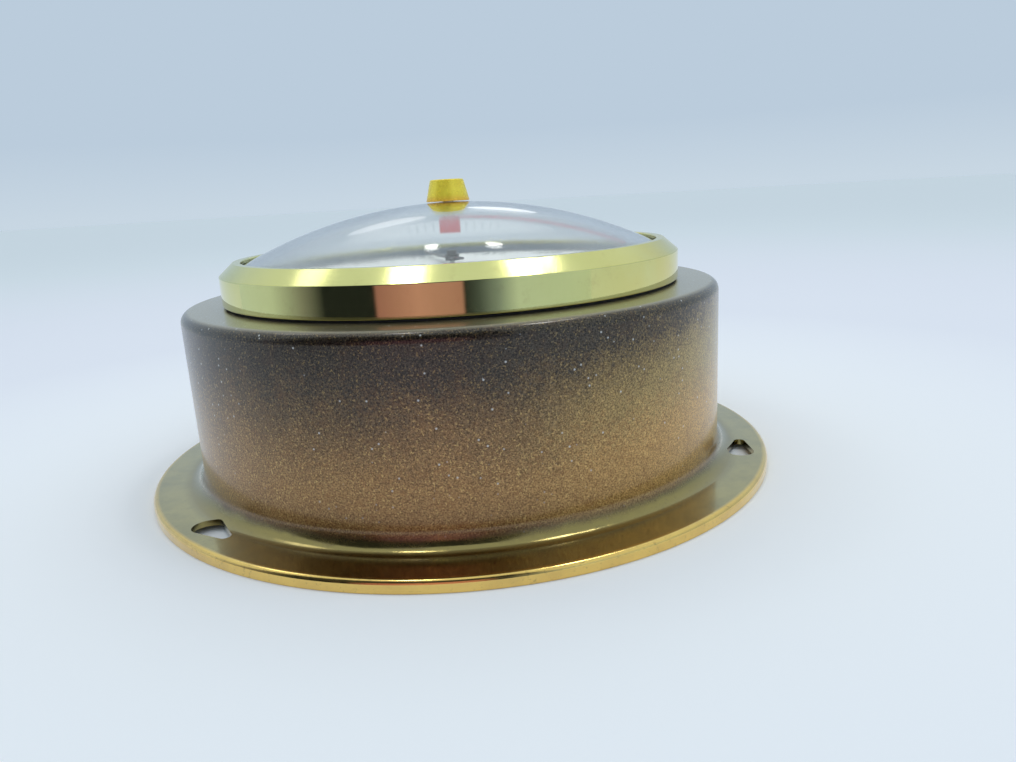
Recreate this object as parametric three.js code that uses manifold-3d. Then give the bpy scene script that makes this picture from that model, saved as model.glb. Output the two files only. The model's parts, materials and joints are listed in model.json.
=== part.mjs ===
// A brass pressure gauge for a wall: a ship's aneroid barometer with a set hand.
// Millimetres. +Z points out of the wall, +Y to twelve o'clock, and z = 0 is the wall.
import * as THREE from "three";
import { mergeVertices } from "three/addons/utils/BufferGeometryUtils.js";
import Module from "manifold-3d";

const wasm = await Module();
wasm.setup();

// Driving dimensions: the case, a spun brass shell with a flange that screws to the wall.
const SHEET = 1;
const FLANGE_R = 60;
const FLANGE_TOP = 2;
const FLANGE_EDGE = 0.8;
const HEM_WIDTH = 1.8;
const DRUM_R = 50.9;
const DRUM_TOP = 34;
const FOOT_FILLET = 3;
const SHOULDER_FILLET = 1.8;
const MOUTH_R = 42.2;

// Fixing holes: three keyholes that drop over screws and lock with a turn.
const HOLE_CIRCLE_R = 55.2;
const KEYHOLE_R = 2.45;
const KEY_TIP_R = 1;
const KEY_SLOT_TURN = 6;
const KEYHOLE_BEARINGS = [87, 208, 326];

// Bezel, lens and what they clamp.
const BEZEL_R = 43.6;
const BEZEL_BOTTOM = 34.4;
const BEZEL_SIDE_TOP = 39.5;
const BEZEL_TOP = 41.8;
const BEZEL_TOP_R = 41;
const BEZEL_BORE_R = 39.6;
const BEZEL_EDGE = 0.3;
const BEZEL_LIP = 40.1;
const BEZEL_SKIRT_R = 42;
const LENS_BALL_R = 87.5;
const LENS_BALL_Z = -37.2;
const LENS_BASE_R = 39.3;
const LENS_WALL = 1.4;
const LENS_RIM_R = 41.8;
const LENS_RIM_BOTTOM = 39;
const LENS_RIM_TOP = 40;
const LENS_HOLE_R = 1.9;
const SEAL_INNER_R = 38.3;
const SEAL_BOTTOM = 38.25;
const SEAL_TOP = 38.95;
const REVEAL_R = 37.7;
const REVEAL_WALL = 0.7;
const REVEAL_TOP = 39.9;
const DIAL_R = 41.2;
const DIAL_BOTTOM = 37.7;
const DIAL_TOP = 38.2;
const DIAL_HOLE_R = 1;

// Set hand: a knob on the lens turns a red hand under it.
const KNOB_BOTTOM = 50.4;
const KNOB_TOP = 54.5;
const KNOB_BOTTOM_R = 4.22;
const KNOB_TOP_R = 3.2;
const KNOB_EDGE = 0.4;
const STEM_R = 1.15;
const STEM_BOTTOM = 44.6;
const STEM_TOP = 53;
const HUB_R = 2.05;
const HUB_BOTTOM = 44.3;
const HUB_TOP = 47;
const SET_HAND_REACH = 35.5;
const SET_HAND_TIP_Z = 40.8;
const SET_HAND_THICK = 0.4;
const SET_HAND_WIDTH = 1.4;
const SET_HAND_EYE_R = 1.9;
const SET_HAND_BEARING = -9;
const BUSH_FLANGE = 0.6;
const BUSH_FLANGE_R = 2.7;

// Movement: its can, plates and pillars.
const CAN_R = 41.8;
const CAN_WALL = 0.8;
const CAN_BOTTOM = 7;
const CAN_TOP = 37.6;
const CAN_LIP_R = 39.8;
const CAN_LIP_THICK = 0.6;
const BACK_PLATE_R = 51.2;
const BACK_PLATE_BOTTOM = 1;
const BACK_PLATE_TOP = 1.8;
const STUD_CIRCLE_R = 34;
const STUD_R = 3;
const BASE_R = 38;
const BASE_BOTTOM = 8.1;
const BASE_TOP = 9.7;
const BASE_SCREW_CIRCLE_R = 30;
const PILLAR_CIRCLE_R = 33;
const PILLAR_R = 2.5;
const TOP_PLATE_BOTTOM = 33.2;
const TOP_PLATE_TOP = 34.4;
const TOP_PLATE_HUB_R = 10;
const TOP_PLATE_ARM_WIDTH = 7;

// Capsule and mainspring. The capsule stands beside the hand's axis.
const CAPSULE_Y = -10;
const CAPSULE_R = 17;
const CAPSULE_BOTTOM = 11.2;
const CAPSULE_TOP = 18.2;
const CAPSULE_WALL = 0.6;
const CAPSULE_WAVE = 0.5;
const CAPSULE_WAVE_PITCH = 5;
const CAPSULE_STUD_R = 2.5;
const CAPSULE_BORE_R = 0.6;
const POST_R = 1.1;
const POST_TOP = 29.6;
const PIN_R = 0.7;
const PIN_LENGTH = 6;
const BRIDGE_X = -19.5;
const BRIDGE_HALF_SPAN = 19.5;
const BRIDGE_WIDTH = 6;
const BRIDGE_LEG_THICK = 2;
const BRIDGE_FOOT = 6;
const BRIDGE_BAR_BOTTOM = 19.4;
const BRIDGE_BAR_TOP = 21.4;
const SPRING_THICK = 0.9;
const SPRING_WIDTH = 14;
const SPRING_BOTTOM = 21.6;
const SPRING_LEG_X = -17;
const SPRING_BEND_X = -24;
const SPRING_BEND_R = 2.5;
const SPRING_TIP_X = 3.5;
const SPRING_SCREW_OFFSET = 4.5;
const ADJUST_HOLE_R = 3.4;
const ADJUST_SCREW_R = 1.5;
const ADJUST_PLAY = 0.25;
const ADJUST_HEAD_R = 2.8;
const ADJUST_HEAD_TOP = 7.6;

// Linkage from the mainspring to the hand.
const ARM_Y = -5.25;
const ARM_WIDTH = 2.5;
const ARM_THICK = 0.8;
const ARM_ROOT_X = -22;
const ROCKER_X = 24;
const ROCKER_Z = 22;
const ROCKER_R = 0.9;
const ROCKER_PIVOT_R = 0.5;
const CRANK_LENGTH = 2.5;
const CHAIN_ARM_LENGTH = 7.5;
const POST_LOW_Y = -9.5;
const POST_HIGH_Y = 6.5;
const PIVOT_POST_R = 2;
const DRUM_CORE_R = 1;
const DRUM_FLANGE_R = 1.6;
const CHAIN_Z = ROCKER_Z + CHAIN_ARM_LENGTH;
const CHAIN_THICK = 0.36;
const CHAIN_HEIGHT = 0.7;
const CHAIN_LINK = 1.15;
const LINK_R = 0.4;
const LINK_EYE = 0.8;
const LEVER_THICK = 1;
const LEVER_EYE_R = 1.6;
const ARBOR_R = 0.5;
const ARBOR_BOTTOM = 24.9;
const ARBOR_TOP = 40;
const COLLET_R = 1.1;
const COIL_BOTTOM = 35.8;
const COIL_TOP = 36.4;
const COIL_INNER_R = 1.25;
const COIL_OUTER_R = 8;
const COIL_TURNS = 4;
const COIL_THICK = 0.22;
const COCK_BOTTOM = 24.8;
const COCK_FLOOR = 1;
const COCK_Y = 6;
const COCK_SIZE = 4;
const HAIRSPRING_STUD_R = 0.75;
const HAND_BOSS_R = 1;
const HAND_COLLAR_R = 1.4;
const HAND_BOSS_BOTTOM = 38.9;
const HAND_BOSS_TOP = 40.9;
const HAND_BLADE_BOTTOM = 39.3;
const HAND_BLADE_THICK = 0.4;
const HAND_LENGTH = 30;
const HAND_TAIL = 6;

// Clearances, screws and how finely curves are cut.
const RUNNING = 0.05;
const REST_GAP = 0.1;
const SCREW_R = 1;
const SCREW_HEAD_R = 1.9;
const SCREW_HEAD = 0.8;
const SCREW_SLOT = 0.5;
const SCREW_REACH = 4;
const THREAD_DEPTH = 5;
const STUD_BEARING = 30;
const BASE_SCREW_BEARING = 90;
const PILLAR_BEARING = 60;
const MERGE_DISTANCE = 1e-4;
const SIDES_CASE = 48;
const SIDES_DISC = 36;
const SIDES_CAPSULE = 24;
const SIDES_ROD = 12;
const SIDES_SCREW = 8;
const ARC_STEPS = 2;
const LENS_ARC_STEPS = 3;
const COIL_STEPS = 12;
const TURN = Math.PI * 2;

const FINISHES = {
  brass: { color: 0xc9a44a, metalness: 1, roughness: 0.18 },
  bronze: { color: 0x2f251c, metalness: 0.8, roughness: 0.45 },
  acrylic: { color: 0xe8f2f0, metalness: 0, roughness: 0.05, opacity: 0.35, transparent: true },
  dark_ring: { color: 0x23272e, metalness: 0, roughness: 0.6 },
  dial_white: { color: 0xf2f1ec, metalness: 0, roughness: 0.5 },
  rubber: { color: 0x15151a, metalness: 0, roughness: 0.8 },
  red_enamel: { color: 0xb41f24, metalness: 0, roughness: 0.35 },
  black_enamel: { color: 0x121214, metalness: 0, roughness: 0.4 },
  steel: { color: 0x9a9da1, metalness: 1, roughness: 0.35 },
  nickel: { color: 0xb9b4a8, metalness: 1, roughness: 0.3 },
  tinplate: { color: 0xa9aaa6, metalness: 1, roughness: 0.4 },
};

const gauge = new THREE.Group();

function radians(degrees) {
  return (degrees / 360) * TURN;
}

function polar(radius, degrees) {
  return [radius * Math.cos(radians(degrees)), radius * Math.sin(radians(degrees))];
}

// Adds one named piece, from a geometry or from a manifold solid.
function add(name, shape, finish) {
  const geometry = shape.isBufferGeometry ? shape : geometryOf(shape);
  const mesh = new THREE.Mesh(geometry, new THREE.MeshStandardMaterial(FINISHES[finish]));
  mesh.name = name;
  gauge.add(mesh);
  return mesh;
}

function solidOf(geometry) {
  const bare = geometry.clone();
  bare.deleteAttribute("normal");
  bare.deleteAttribute("uv");
  const merged = mergeVertices(bare, MERGE_DISTANCE);
  return new wasm.Manifold(
    new wasm.Mesh({
      numProp: 3,
      vertProperties: merged.attributes.position.array,
      triVerts: new Uint32Array(merged.index.array),
    }),
  );
}

function geometryOf(solid) {
  const mesh = solid.getMesh();
  const geometry = new THREE.BufferGeometry();
  geometry.setAttribute("position", new THREE.BufferAttribute(mesh.vertProperties, 3));
  geometry.setIndex(new THREE.BufferAttribute(mesh.triVerts, 1));
  geometry.computeVertexNormals();
  return geometry;
}

function cut(body, ...cutters) {
  return cutters.reduce((left, cutter) => left.subtract(cutter), body);
}

function join(...bodies) {
  return bodies.reduce((left, body) => left.add(body));
}

// Turns an outline of (radius, height) points about Z. A closed outline makes a ring.
function turned(path, sides, arcSteps = ARC_STEPS) {
  const points = path.getPoints(arcSteps);
  if (THREE.ShapeUtils.area(points) < 0) points.reverse();
  return new THREE.LatheGeometry(points, sides).rotateX(TURN / 4);
}

function outline(points) {
  const path = new THREE.Path(points.map(([r, z]) => new THREE.Vector2(r, z)));
  path.closePath();
  return path;
}

function ring(innerR, outerR, bottom, top, sides = SIDES_DISC) {
  return turned(
    outline([
      [innerR, bottom],
      [outerR, bottom],
      [outerR, top],
      [innerR, top],
    ]),
    sides,
  );
}

function rod(radius, bottom, top, x = 0, y = 0, sides = SIDES_ROD) {
  return new THREE.CylinderGeometry(radius, radius, top - bottom, sides)
    .rotateX(TURN / 4)
    .translate(x, y, (bottom + top) / 2);
}

// A rod along Y, from one y to another.
function crossRod(radius, startY, endY, x, z, sides = SIDES_ROD) {
  const shape = new THREE.CylinderGeometry(radius, radius, endY - startY, sides);
  return shape.translate(x, (startY + endY) / 2, z);
}

function block([x0, x1], [y0, y1], [z0, z1]) {
  const shape = new THREE.BoxGeometry(x1 - x0, y1 - y0, z1 - z0);
  return shape.translate((x0 + x1) / 2, (y0 + y1) / 2, (z0 + z1) / 2);
}

function extruded(side, depth, curveSegments = SIDES_ROD) {
  return new THREE.ExtrudeGeometry(side, { depth, bevelEnabled: false, curveSegments });
}

const solidRod = (...sizes) => solidOf(rod(...sizes));
const solidBlock = (...sizes) => solidOf(block(...sizes));
const solidCrossRod = (...sizes) => solidOf(crossRod(...sizes));

// The cutter of a screw's hole, a little wider than its shank.
function screwHole(bottom, top, x, y) {
  return solidRod(SCREW_R + REST_GAP, bottom, top, x, y, SIDES_SCREW);
}

// Three bearings spaced evenly round the axis.
function thirds(first) {
  return [0, 1, 2].map((step) => first + (step * 360) / 3);
}

// A slotted screw at (x, y). Its head starts at headZ and its shank ends at tipZ, above or below.
function screw(x, y, headZ, tipZ, headR = SCREW_HEAD_R, shankR = SCREW_R) {
  const facing = tipZ > headZ ? -1 : 1;
  const headEnd = headZ + facing * SCREW_HEAD;
  const slotFloor = headEnd - (facing * SCREW_HEAD) / 2;
  const span = (a, b) => [Math.min(a, b), Math.max(a, b)];
  const head = solidRod(headR, ...span(headZ, headEnd), x, y, SIDES_SCREW);
  const shank = solidRod(shankR, ...span(headZ + (facing * SCREW_HEAD) / 4, tipZ), x, y, SIDES_SCREW);
  const slot = solidBlock(
    [x - headR * 2, x + headR * 2],
    [y - SCREW_SLOT / 2, y + SCREW_SLOT / 2],
    span(slotFloor, headEnd + facing),
  );
  return cut(join(head, shank), slot);
}

function caseShell() {
  const path = new THREE.Path();
  const filletX = DRUM_R + FOOT_FILLET;
  const filletZ = FLANGE_TOP + FOOT_FILLET;
  const shoulderX = DRUM_R - SHOULDER_FILLET;
  const shoulderZ = DRUM_TOP - SHOULDER_FILLET;
  path.moveTo(FLANGE_R, 0);
  path.lineTo(FLANGE_R, FLANGE_TOP - FLANGE_EDGE);
  path.absarc(FLANGE_R - FLANGE_EDGE, FLANGE_TOP - FLANGE_EDGE, FLANGE_EDGE, 0, TURN / 4, false);
  path.lineTo(filletX, FLANGE_TOP);
  path.absarc(filletX, filletZ, FOOT_FILLET, -TURN / 4, -TURN / 2, true);
  path.lineTo(DRUM_R, shoulderZ);
  path.absarc(shoulderX, shoulderZ, SHOULDER_FILLET, 0, TURN / 4, false);
  path.lineTo(MOUTH_R, DRUM_TOP);
  path.lineTo(MOUTH_R, DRUM_TOP - SHEET);
  path.lineTo(shoulderX, DRUM_TOP - SHEET);
  path.absarc(shoulderX, shoulderZ, SHOULDER_FILLET - SHEET, TURN / 4, 0, true);
  path.lineTo(DRUM_R - SHEET, filletZ);
  path.absarc(filletX, filletZ, FOOT_FILLET + SHEET, -TURN / 2, -TURN / 4, false);
  path.lineTo(FLANGE_R - HEM_WIDTH, FLANGE_TOP - SHEET);
  path.lineTo(FLANGE_R - HEM_WIDTH, 0);
  path.closePath();
  return cut(solidOf(turned(path, SIDES_CASE)), ...KEYHOLE_BEARINGS.map(keyhole));
}

// The cutter of one keyhole: a round entry that narrows to a small tip further round the flange.
function keyhole(bearing) {
  const height = FLANGE_TOP + FOOT_FILLET;
  const entry = polar(HOLE_CIRCLE_R, bearing);
  const tip = polar(HOLE_CIRCLE_R, bearing + KEY_SLOT_TURN);
  const run = Math.hypot(tip[0] - entry[0], tip[1] - entry[1]);
  const lean = Math.acos((KEYHOLE_R - KEY_TIP_R) / run);
  const outline = new THREE.Shape();
  outline.absarc(0, 0, KEYHOLE_R, lean, TURN - lean, false);
  outline.absarc(run, 0, KEY_TIP_R, -lean, lean, false);
  outline.closePath();
  const cutter = extruded(outline, 2 * height)
    .rotateZ(Math.atan2(tip[1] - entry[1], tip[0] - entry[0]))
    .translate(entry[0], entry[1], -height);
  return solidOf(cutter);
}

function backPlate() {
  const holes = thirds(STUD_BEARING).map((bearing) => {
    const [x, y] = polar(STUD_CIRCLE_R, bearing);
    return screwHole(0, BACK_PLATE_TOP + SHEET, x, y);
  });
  const access = solidRod(ADJUST_HOLE_R, 0, BACK_PLATE_TOP + SHEET, BRIDGE_X, CAPSULE_Y);
  const disc = solidRod(BACK_PLATE_R, BACK_PLATE_BOTTOM, BACK_PLATE_TOP, 0, 0, SIDES_CASE);
  return cut(disc, access, ...holes);
}

function backStud(x, y) {
  const top = CAN_BOTTOM - REST_GAP;
  const bottom = BACK_PLATE_TOP + REST_GAP;
  const thread = screwHole(bottom - SHEET, top - SHEET, x, y);
  return cut(solidRod(STUD_R, bottom, top, x, y), thread);
}

function movementCan() {
  const floorTop = CAN_BOTTOM + CAN_WALL;
  const path = outline([
    [0, CAN_BOTTOM],
    [CAN_R, CAN_BOTTOM],
    [CAN_R, CAN_TOP],
    [CAN_LIP_R, CAN_TOP],
    [CAN_LIP_R, CAN_TOP - CAN_LIP_THICK],
    [CAN_R - CAN_WALL, CAN_TOP - CAN_LIP_THICK],
    [CAN_R - CAN_WALL, floorTop],
    [0, floorTop],
  ]);
  const holes = thirds(BASE_SCREW_BEARING).map((bearing) => {
    const [x, y] = polar(BASE_SCREW_CIRCLE_R, bearing);
    return screwHole(0, BASE_BOTTOM, x, y);
  });
  const access = solidRod(ADJUST_HOLE_R, 0, BASE_BOTTOM, BRIDGE_X, CAPSULE_Y);
  return cut(solidOf(turned(path, SIDES_DISC)), access, ...holes);
}

function basePlate() {
  const plate = solidRod(BASE_R, BASE_BOTTOM, BASE_TOP, 0, 0, SIDES_DISC);
  const above = BASE_TOP + SHEET;
  const screws = thirds(BASE_SCREW_BEARING).map((bearing) =>
    screwHole(0, above, ...polar(BASE_SCREW_CIRCLE_R, bearing)),
  );
  const feet = bridgeFeet().map((y) => screwHole(0, above, BRIDGE_X, y));
  const adjuster = solidRod(ADJUST_SCREW_R + ADJUST_PLAY, 0, above, BRIDGE_X, CAPSULE_Y, SIDES_SCREW);
  return cut(plate, adjuster, ...screws, ...feet);
}

function bridgeFeet() {
  const reach = BRIDGE_HALF_SPAN - BRIDGE_LEG_THICK / 2 + BRIDGE_FOOT / 2;
  return [CAPSULE_Y - reach, CAPSULE_Y + reach];
}

function pillar(x, y) {
  const top = TOP_PLATE_BOTTOM - REST_GAP;
  const thread = screwHole(top - THREAD_DEPTH, top + SHEET, x, y);
  return cut(solidRod(PILLAR_R, BASE_TOP + REST_GAP, top, x, y), thread);
}

function topPlate() {
  const above = TOP_PLATE_TOP + SHEET;
  const arms = thirds(PILLAR_BEARING).map((bearing) => {
    const half = TOP_PLATE_ARM_WIDTH / 2;
    const arm = block([0, PILLAR_CIRCLE_R], [-half, half], [TOP_PLATE_BOTTOM, TOP_PLATE_TOP]);
    const [x, y] = polar(PILLAR_CIRCLE_R, bearing);
    const end = solidRod(half, TOP_PLATE_BOTTOM, TOP_PLATE_TOP, x, y, SIDES_ROD);
    return join(solidOf(arm.rotateZ(radians(bearing))), end);
  });
  const hub = solidRod(TOP_PLATE_HUB_R, TOP_PLATE_BOTTOM, TOP_PLATE_TOP, 0, 0, SIDES_CAPSULE);
  const holes = thirds(PILLAR_BEARING).map((bearing) => {
    const [x, y] = polar(PILLAR_CIRCLE_R, bearing);
    return screwHole(BASE_TOP, above, x, y);
  });
  const arborHole = solidRod(ARBOR_R + RUNNING, BASE_TOP, above);
  const cockHole = screwHole(BASE_TOP, above, 0, COCK_Y);
  return cut(join(hub, ...arms), arborHole, cockHole, ...holes);
}

function arborCock() {
  const half = COCK_SIZE / 2 + SHEET;
  const top = TOP_PLATE_BOTTOM - REST_GAP;
  const across = [-half, half];
  const leg = solidBlock(across, [COCK_Y - COCK_SIZE / 2, COCK_Y + COCK_SIZE / 2], [COCK_BOTTOM, top]);
  const floor = solidBlock(across, [-COCK_SIZE / 2, COCK_Y], [COCK_BOTTOM, COCK_BOTTOM + COCK_FLOOR]);
  const bearing = solidRod(ARBOR_R + RUNNING, COCK_BOTTOM - SHEET, COCK_BOTTOM + 2 * COCK_FLOOR);
  const thread = screwHole(top - THREAD_DEPTH, top + SHEET, 0, COCK_Y);
  return cut(join(leg, floor), bearing, thread);
}

function bezel() {
  const path = outline([
    [BEZEL_R, BEZEL_BOTTOM],
    [BEZEL_R, BEZEL_SIDE_TOP],
    [BEZEL_TOP_R, BEZEL_TOP],
    [BEZEL_BORE_R + BEZEL_EDGE, BEZEL_TOP],
    [BEZEL_BORE_R, BEZEL_TOP - BEZEL_EDGE],
    [BEZEL_BORE_R, BEZEL_LIP],
    [BEZEL_SKIRT_R, BEZEL_LIP],
    [BEZEL_SKIRT_R, BEZEL_BOTTOM],
  ]);
  return turned(path, SIDES_CASE);
}

// The angle, from the radius axis, at which the ball of a lens surface has a given radius.
function ballAngle(ballR, radius) {
  return Math.acos(radius / ballR);
}

function domeLens() {
  const innerBall = LENS_BALL_R - LENS_WALL;
  const skirtR = LENS_BASE_R - LENS_WALL;
  const path = new THREE.Path();
  const outer = [LENS_HOLE_R, LENS_BASE_R].map((radius) => ballAngle(LENS_BALL_R, radius));
  const inner = [skirtR, LENS_HOLE_R].map((radius) => ballAngle(innerBall, radius));
  path.absarc(0, LENS_BALL_Z, LENS_BALL_R, ...outer, true);
  path.lineTo(LENS_BASE_R, LENS_RIM_TOP);
  path.lineTo(LENS_RIM_R, LENS_RIM_TOP);
  path.lineTo(LENS_RIM_R, LENS_RIM_BOTTOM);
  path.lineTo(skirtR, LENS_RIM_BOTTOM);
  path.absarc(0, LENS_BALL_Z, innerBall, ...inner, false);
  path.closePath();
  return turned(path, SIDES_CASE, LENS_ARC_STEPS);
}

// A brass bush that is pressed into the lens from inside and carries the set hand's stem.
function lensBush() {
  const apex = LENS_BALL_Z + LENS_BALL_R;
  const inside = apex - LENS_WALL - REST_GAP * 2;
  return turned(
    outline([
      [STEM_R + RUNNING, inside - BUSH_FLANGE],
      [BUSH_FLANGE_R, inside - BUSH_FLANGE],
      [BUSH_FLANGE_R, inside],
      [LENS_HOLE_R - RUNNING, inside],
      [LENS_HOLE_R - RUNNING, apex - REST_GAP / 2],
      [STEM_R + RUNNING, apex - REST_GAP / 2],
    ]),
    SIDES_ROD,
  );
}

function setKnob() {
  const path = new THREE.Path();
  path.moveTo(0, KNOB_TOP);
  path.lineTo(0, STEM_TOP + REST_GAP);
  path.lineTo(STEM_R + RUNNING, STEM_TOP + REST_GAP);
  path.lineTo(STEM_R + RUNNING, KNOB_BOTTOM);
  path.lineTo(KNOB_BOTTOM_R, KNOB_BOTTOM);
  path.lineTo(KNOB_TOP_R + KNOB_EDGE / 4, KNOB_TOP - KNOB_EDGE);
  path.lineTo(KNOB_TOP_R - KNOB_EDGE, KNOB_TOP);
  path.lineTo(0, KNOB_TOP);
  return turned(path, SIDES_CAPSULE);
}

function setHub() {
  const hub = solidRod(HUB_R, HUB_BOTTOM, HUB_TOP);
  return cut(hub, solidRod(STEM_R + RUNNING, STEM_BOTTOM - REST_GAP, HUB_TOP + SHEET));
}

// The set hand is a strip that bends down from its eye, close under the lens.
function setHand() {
  const top = HUB_TOP + REST_GAP + SET_HAND_THICK;
  const fall = top - SET_HAND_TIP_Z;
  const ballR = (SET_HAND_REACH ** 2 + fall ** 2) / (2 * fall);
  const ballZ = top - ballR;
  const reachAngle = ballAngle(ballR, SET_HAND_REACH);
  const startAngle = ballAngle(ballR, STEM_R + SHEET / 2);
  const side = new THREE.Shape();
  side.absarc(0, ballZ, ballR, startAngle, reachAngle, true);
  side.absarc(0, ballZ, ballR - SET_HAND_THICK, reachAngle, startAngle, false);
  side.closePath();
  const strip = extruded(side, SET_HAND_WIDTH, LENS_ARC_STEPS)
    .translate(0, 0, -SET_HAND_WIDTH / 2)
    .rotateX(TURN / 4);
  const eye = ring(STEM_R + RUNNING, SET_HAND_EYE_R, top - SET_HAND_THICK, top, SIDES_ROD);
  return join(solidOf(strip), solidOf(eye));
}

// A thin-walled corrugated box, with the bore that it was pumped out through in its stud.
function capsule() {
  const wave = (radius) => CAPSULE_WAVE * Math.cos((radius / CAPSULE_WAVE_PITCH) * TURN);
  const radii = [];
  for (let r = CAPSULE_STUD_R; r < CAPSULE_R - SHEET; r += CAPSULE_WAVE_PITCH / 4) radii.push(r);
  const top = radii.map((r) => [r, CAPSULE_TOP - CAPSULE_WAVE * 2 + wave(r)]);
  const bottom = radii.map((r) => [r, CAPSULE_BOTTOM + CAPSULE_WAVE * 2 - wave(r)]).reverse();
  const roof = CAPSULE_TOP - CAPSULE_WAVE * 3 - CAPSULE_WALL;
  const floor = CAPSULE_BOTTOM + CAPSULE_WAVE * 3 + CAPSULE_WALL;
  const path = outline([
    [0, CAPSULE_TOP],
    [CAPSULE_STUD_R, CAPSULE_TOP],
    ...top,
    [CAPSULE_R, roof],
    [CAPSULE_R, floor],
    ...bottom,
    [CAPSULE_STUD_R, CAPSULE_BOTTOM],
    [CAPSULE_STUD_R, BASE_TOP + REST_GAP],
    [CAPSULE_BORE_R, BASE_TOP + REST_GAP],
    [CAPSULE_BORE_R, floor],
    [CAPSULE_R - CAPSULE_WALL, floor],
    [CAPSULE_R - CAPSULE_WALL, roof],
    [0, roof],
  ]);
  return turned(path, SIDES_CAPSULE).translate(0, CAPSULE_Y, 0);
}

const SPRING_TOP = SPRING_BOTTOM + SPRING_BEND_R * 2 + SPRING_THICK;
const PIN_Z = SPRING_TOP + REST_GAP + PIN_R;

function capsulePost() {
  const post = solidRod(POST_R, CAPSULE_TOP + REST_GAP, POST_TOP, 0, CAPSULE_Y);
  const ends = [CAPSULE_Y - PIN_LENGTH, CAPSULE_Y + PIN_LENGTH];
  return cut(post, solidCrossRod(PIN_R + RUNNING, ...ends, 0, PIN_Z, SIDES_SCREW));
}

function knifePin() {
  return crossRod(PIN_R, CAPSULE_Y - PIN_LENGTH / 2, CAPSULE_Y + PIN_LENGTH / 2, 0, PIN_Z, SIDES_SCREW);
}

// An arch over the capsule that carries the mainspring.
function springBridge() {
  const half = BRIDGE_WIDTH / 2;
  const across = [BRIDGE_X - half, BRIDGE_X + half];
  const footBottom = BASE_TOP + REST_GAP;
  const footTop = footBottom + BRIDGE_LEG_THICK;
  const low = CAPSULE_Y - BRIDGE_HALF_SPAN;
  const high = CAPSULE_Y + BRIDGE_HALF_SPAN;
  const bar = solidBlock(across, [low, high], [BRIDGE_BAR_BOTTOM, BRIDGE_BAR_TOP]);
  const legs = [low, high - BRIDGE_LEG_THICK].map((y) =>
    solidBlock(across, [y, y + BRIDGE_LEG_THICK], [footBottom, BRIDGE_BAR_TOP]),
  );
  const feet = [low - BRIDGE_FOOT + BRIDGE_LEG_THICK, high - BRIDGE_LEG_THICK].map((y) =>
    solidBlock(across, [y, y + BRIDGE_FOOT], [footBottom, footTop]),
  );
  const holes = bridgeFeet().map((y) => screwHole(0, footTop + SHEET, BRIDGE_X, y));
  const threads = springScrewYs().map((y) =>
    screwHole(BRIDGE_BAR_BOTTOM - SHEET, BRIDGE_BAR_TOP + SHEET, BRIDGE_X, y),
  );
  return cut(join(bar, ...legs, ...feet), ...holes, ...threads);
}

function springScrewYs() {
  return [CAPSULE_Y - SPRING_SCREW_OFFSET, CAPSULE_Y + SPRING_SCREW_OFFSET];
}

// A leaf bent like a C: its lower leg is screwed to the bridge, its upper leg lifts the capsule.
function mainspring() {
  const bendZ = SPRING_BOTTOM + SPRING_THICK / 2 + SPRING_BEND_R;
  const outer = SPRING_BEND_R + SPRING_THICK / 2;
  const inner = SPRING_BEND_R - SPRING_THICK / 2;
  const side = new THREE.Shape();
  side.moveTo(SPRING_LEG_X, bendZ - outer);
  side.lineTo(SPRING_BEND_X, bendZ - outer);
  side.absarc(SPRING_BEND_X, bendZ, outer, -TURN / 4, TURN / 4, true);
  side.lineTo(SPRING_TIP_X, bendZ + outer);
  side.lineTo(SPRING_TIP_X, bendZ + inner);
  side.absarc(SPRING_BEND_X, bendZ, inner, TURN / 4, -TURN / 4, false);
  side.lineTo(SPRING_LEG_X, bendZ - inner);
  side.closePath();
  const leaf = extruded(side, SPRING_WIDTH, ARC_STEPS * 3)
    .rotateX(TURN / 4)
    .translate(0, CAPSULE_Y + SPRING_WIDTH / 2, 0);
  const slotHalf = POST_R + REST_GAP * 2;
  const slot = solidBlock(
    [-slotHalf, SPRING_TIP_X + SHEET],
    [CAPSULE_Y - slotHalf, CAPSULE_Y + slotHalf],
    [bendZ, SPRING_TOP + SHEET],
  );
  const holes = springScrewYs().map((y) => screwHole(SPRING_BOTTOM - SHEET, bendZ, BRIDGE_X, y));
  const armHole = screwHole(bendZ, SPRING_TOP + SHEET, ARM_SCREW_X, ARM_Y);
  return cut(solidOf(leaf), slot, armHole, ...holes);
}

const ARM_BOTTOM = SPRING_TOP + REST_GAP;
const ARM_TOP = ARM_BOTTOM + ARM_THICK;
const ARM_SCREW_X = ARM_ROOT_X + ARM_WIDTH;

// The long lever that carries the mainspring's movement across to the rocking shaft.
function regulatingArm() {
  const half = ARM_WIDTH / 2;
  const tipX = ROCKER_X - CRANK_LENGTH;
  const bar = solidBlock([ARM_ROOT_X, tipX], [ARM_Y - half, ARM_Y + half], [ARM_BOTTOM, ARM_TOP]);
  const tip = solidRod(half, ARM_BOTTOM, ARM_TOP, tipX, ARM_Y);
  const hole = screwHole(ARM_BOTTOM - SHEET, ARM_TOP + SHEET, ARM_SCREW_X, ARM_Y);
  return cut(join(bar, tip), hole);
}

function linkWire() {
  const x = ROCKER_X - CRANK_LENGTH;
  const bottom = ROCKER_Z + ROCKER_R / 2 + REST_GAP * 2;
  const top = ARM_BOTTOM - REST_GAP * 2;
  const wire = solidRod(LINK_R, bottom, top, x, ARM_Y, SIDES_SCREW);
  const ends = [bottom + LINK_EYE / 2, top - LINK_EYE / 2].map((z) =>
    solidRod(LINK_R * 2, z - LINK_EYE / 2, z + LINK_EYE / 2, x, ARM_Y, SIDES_SCREW),
  );
  return join(wire, ...ends);
}

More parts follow.
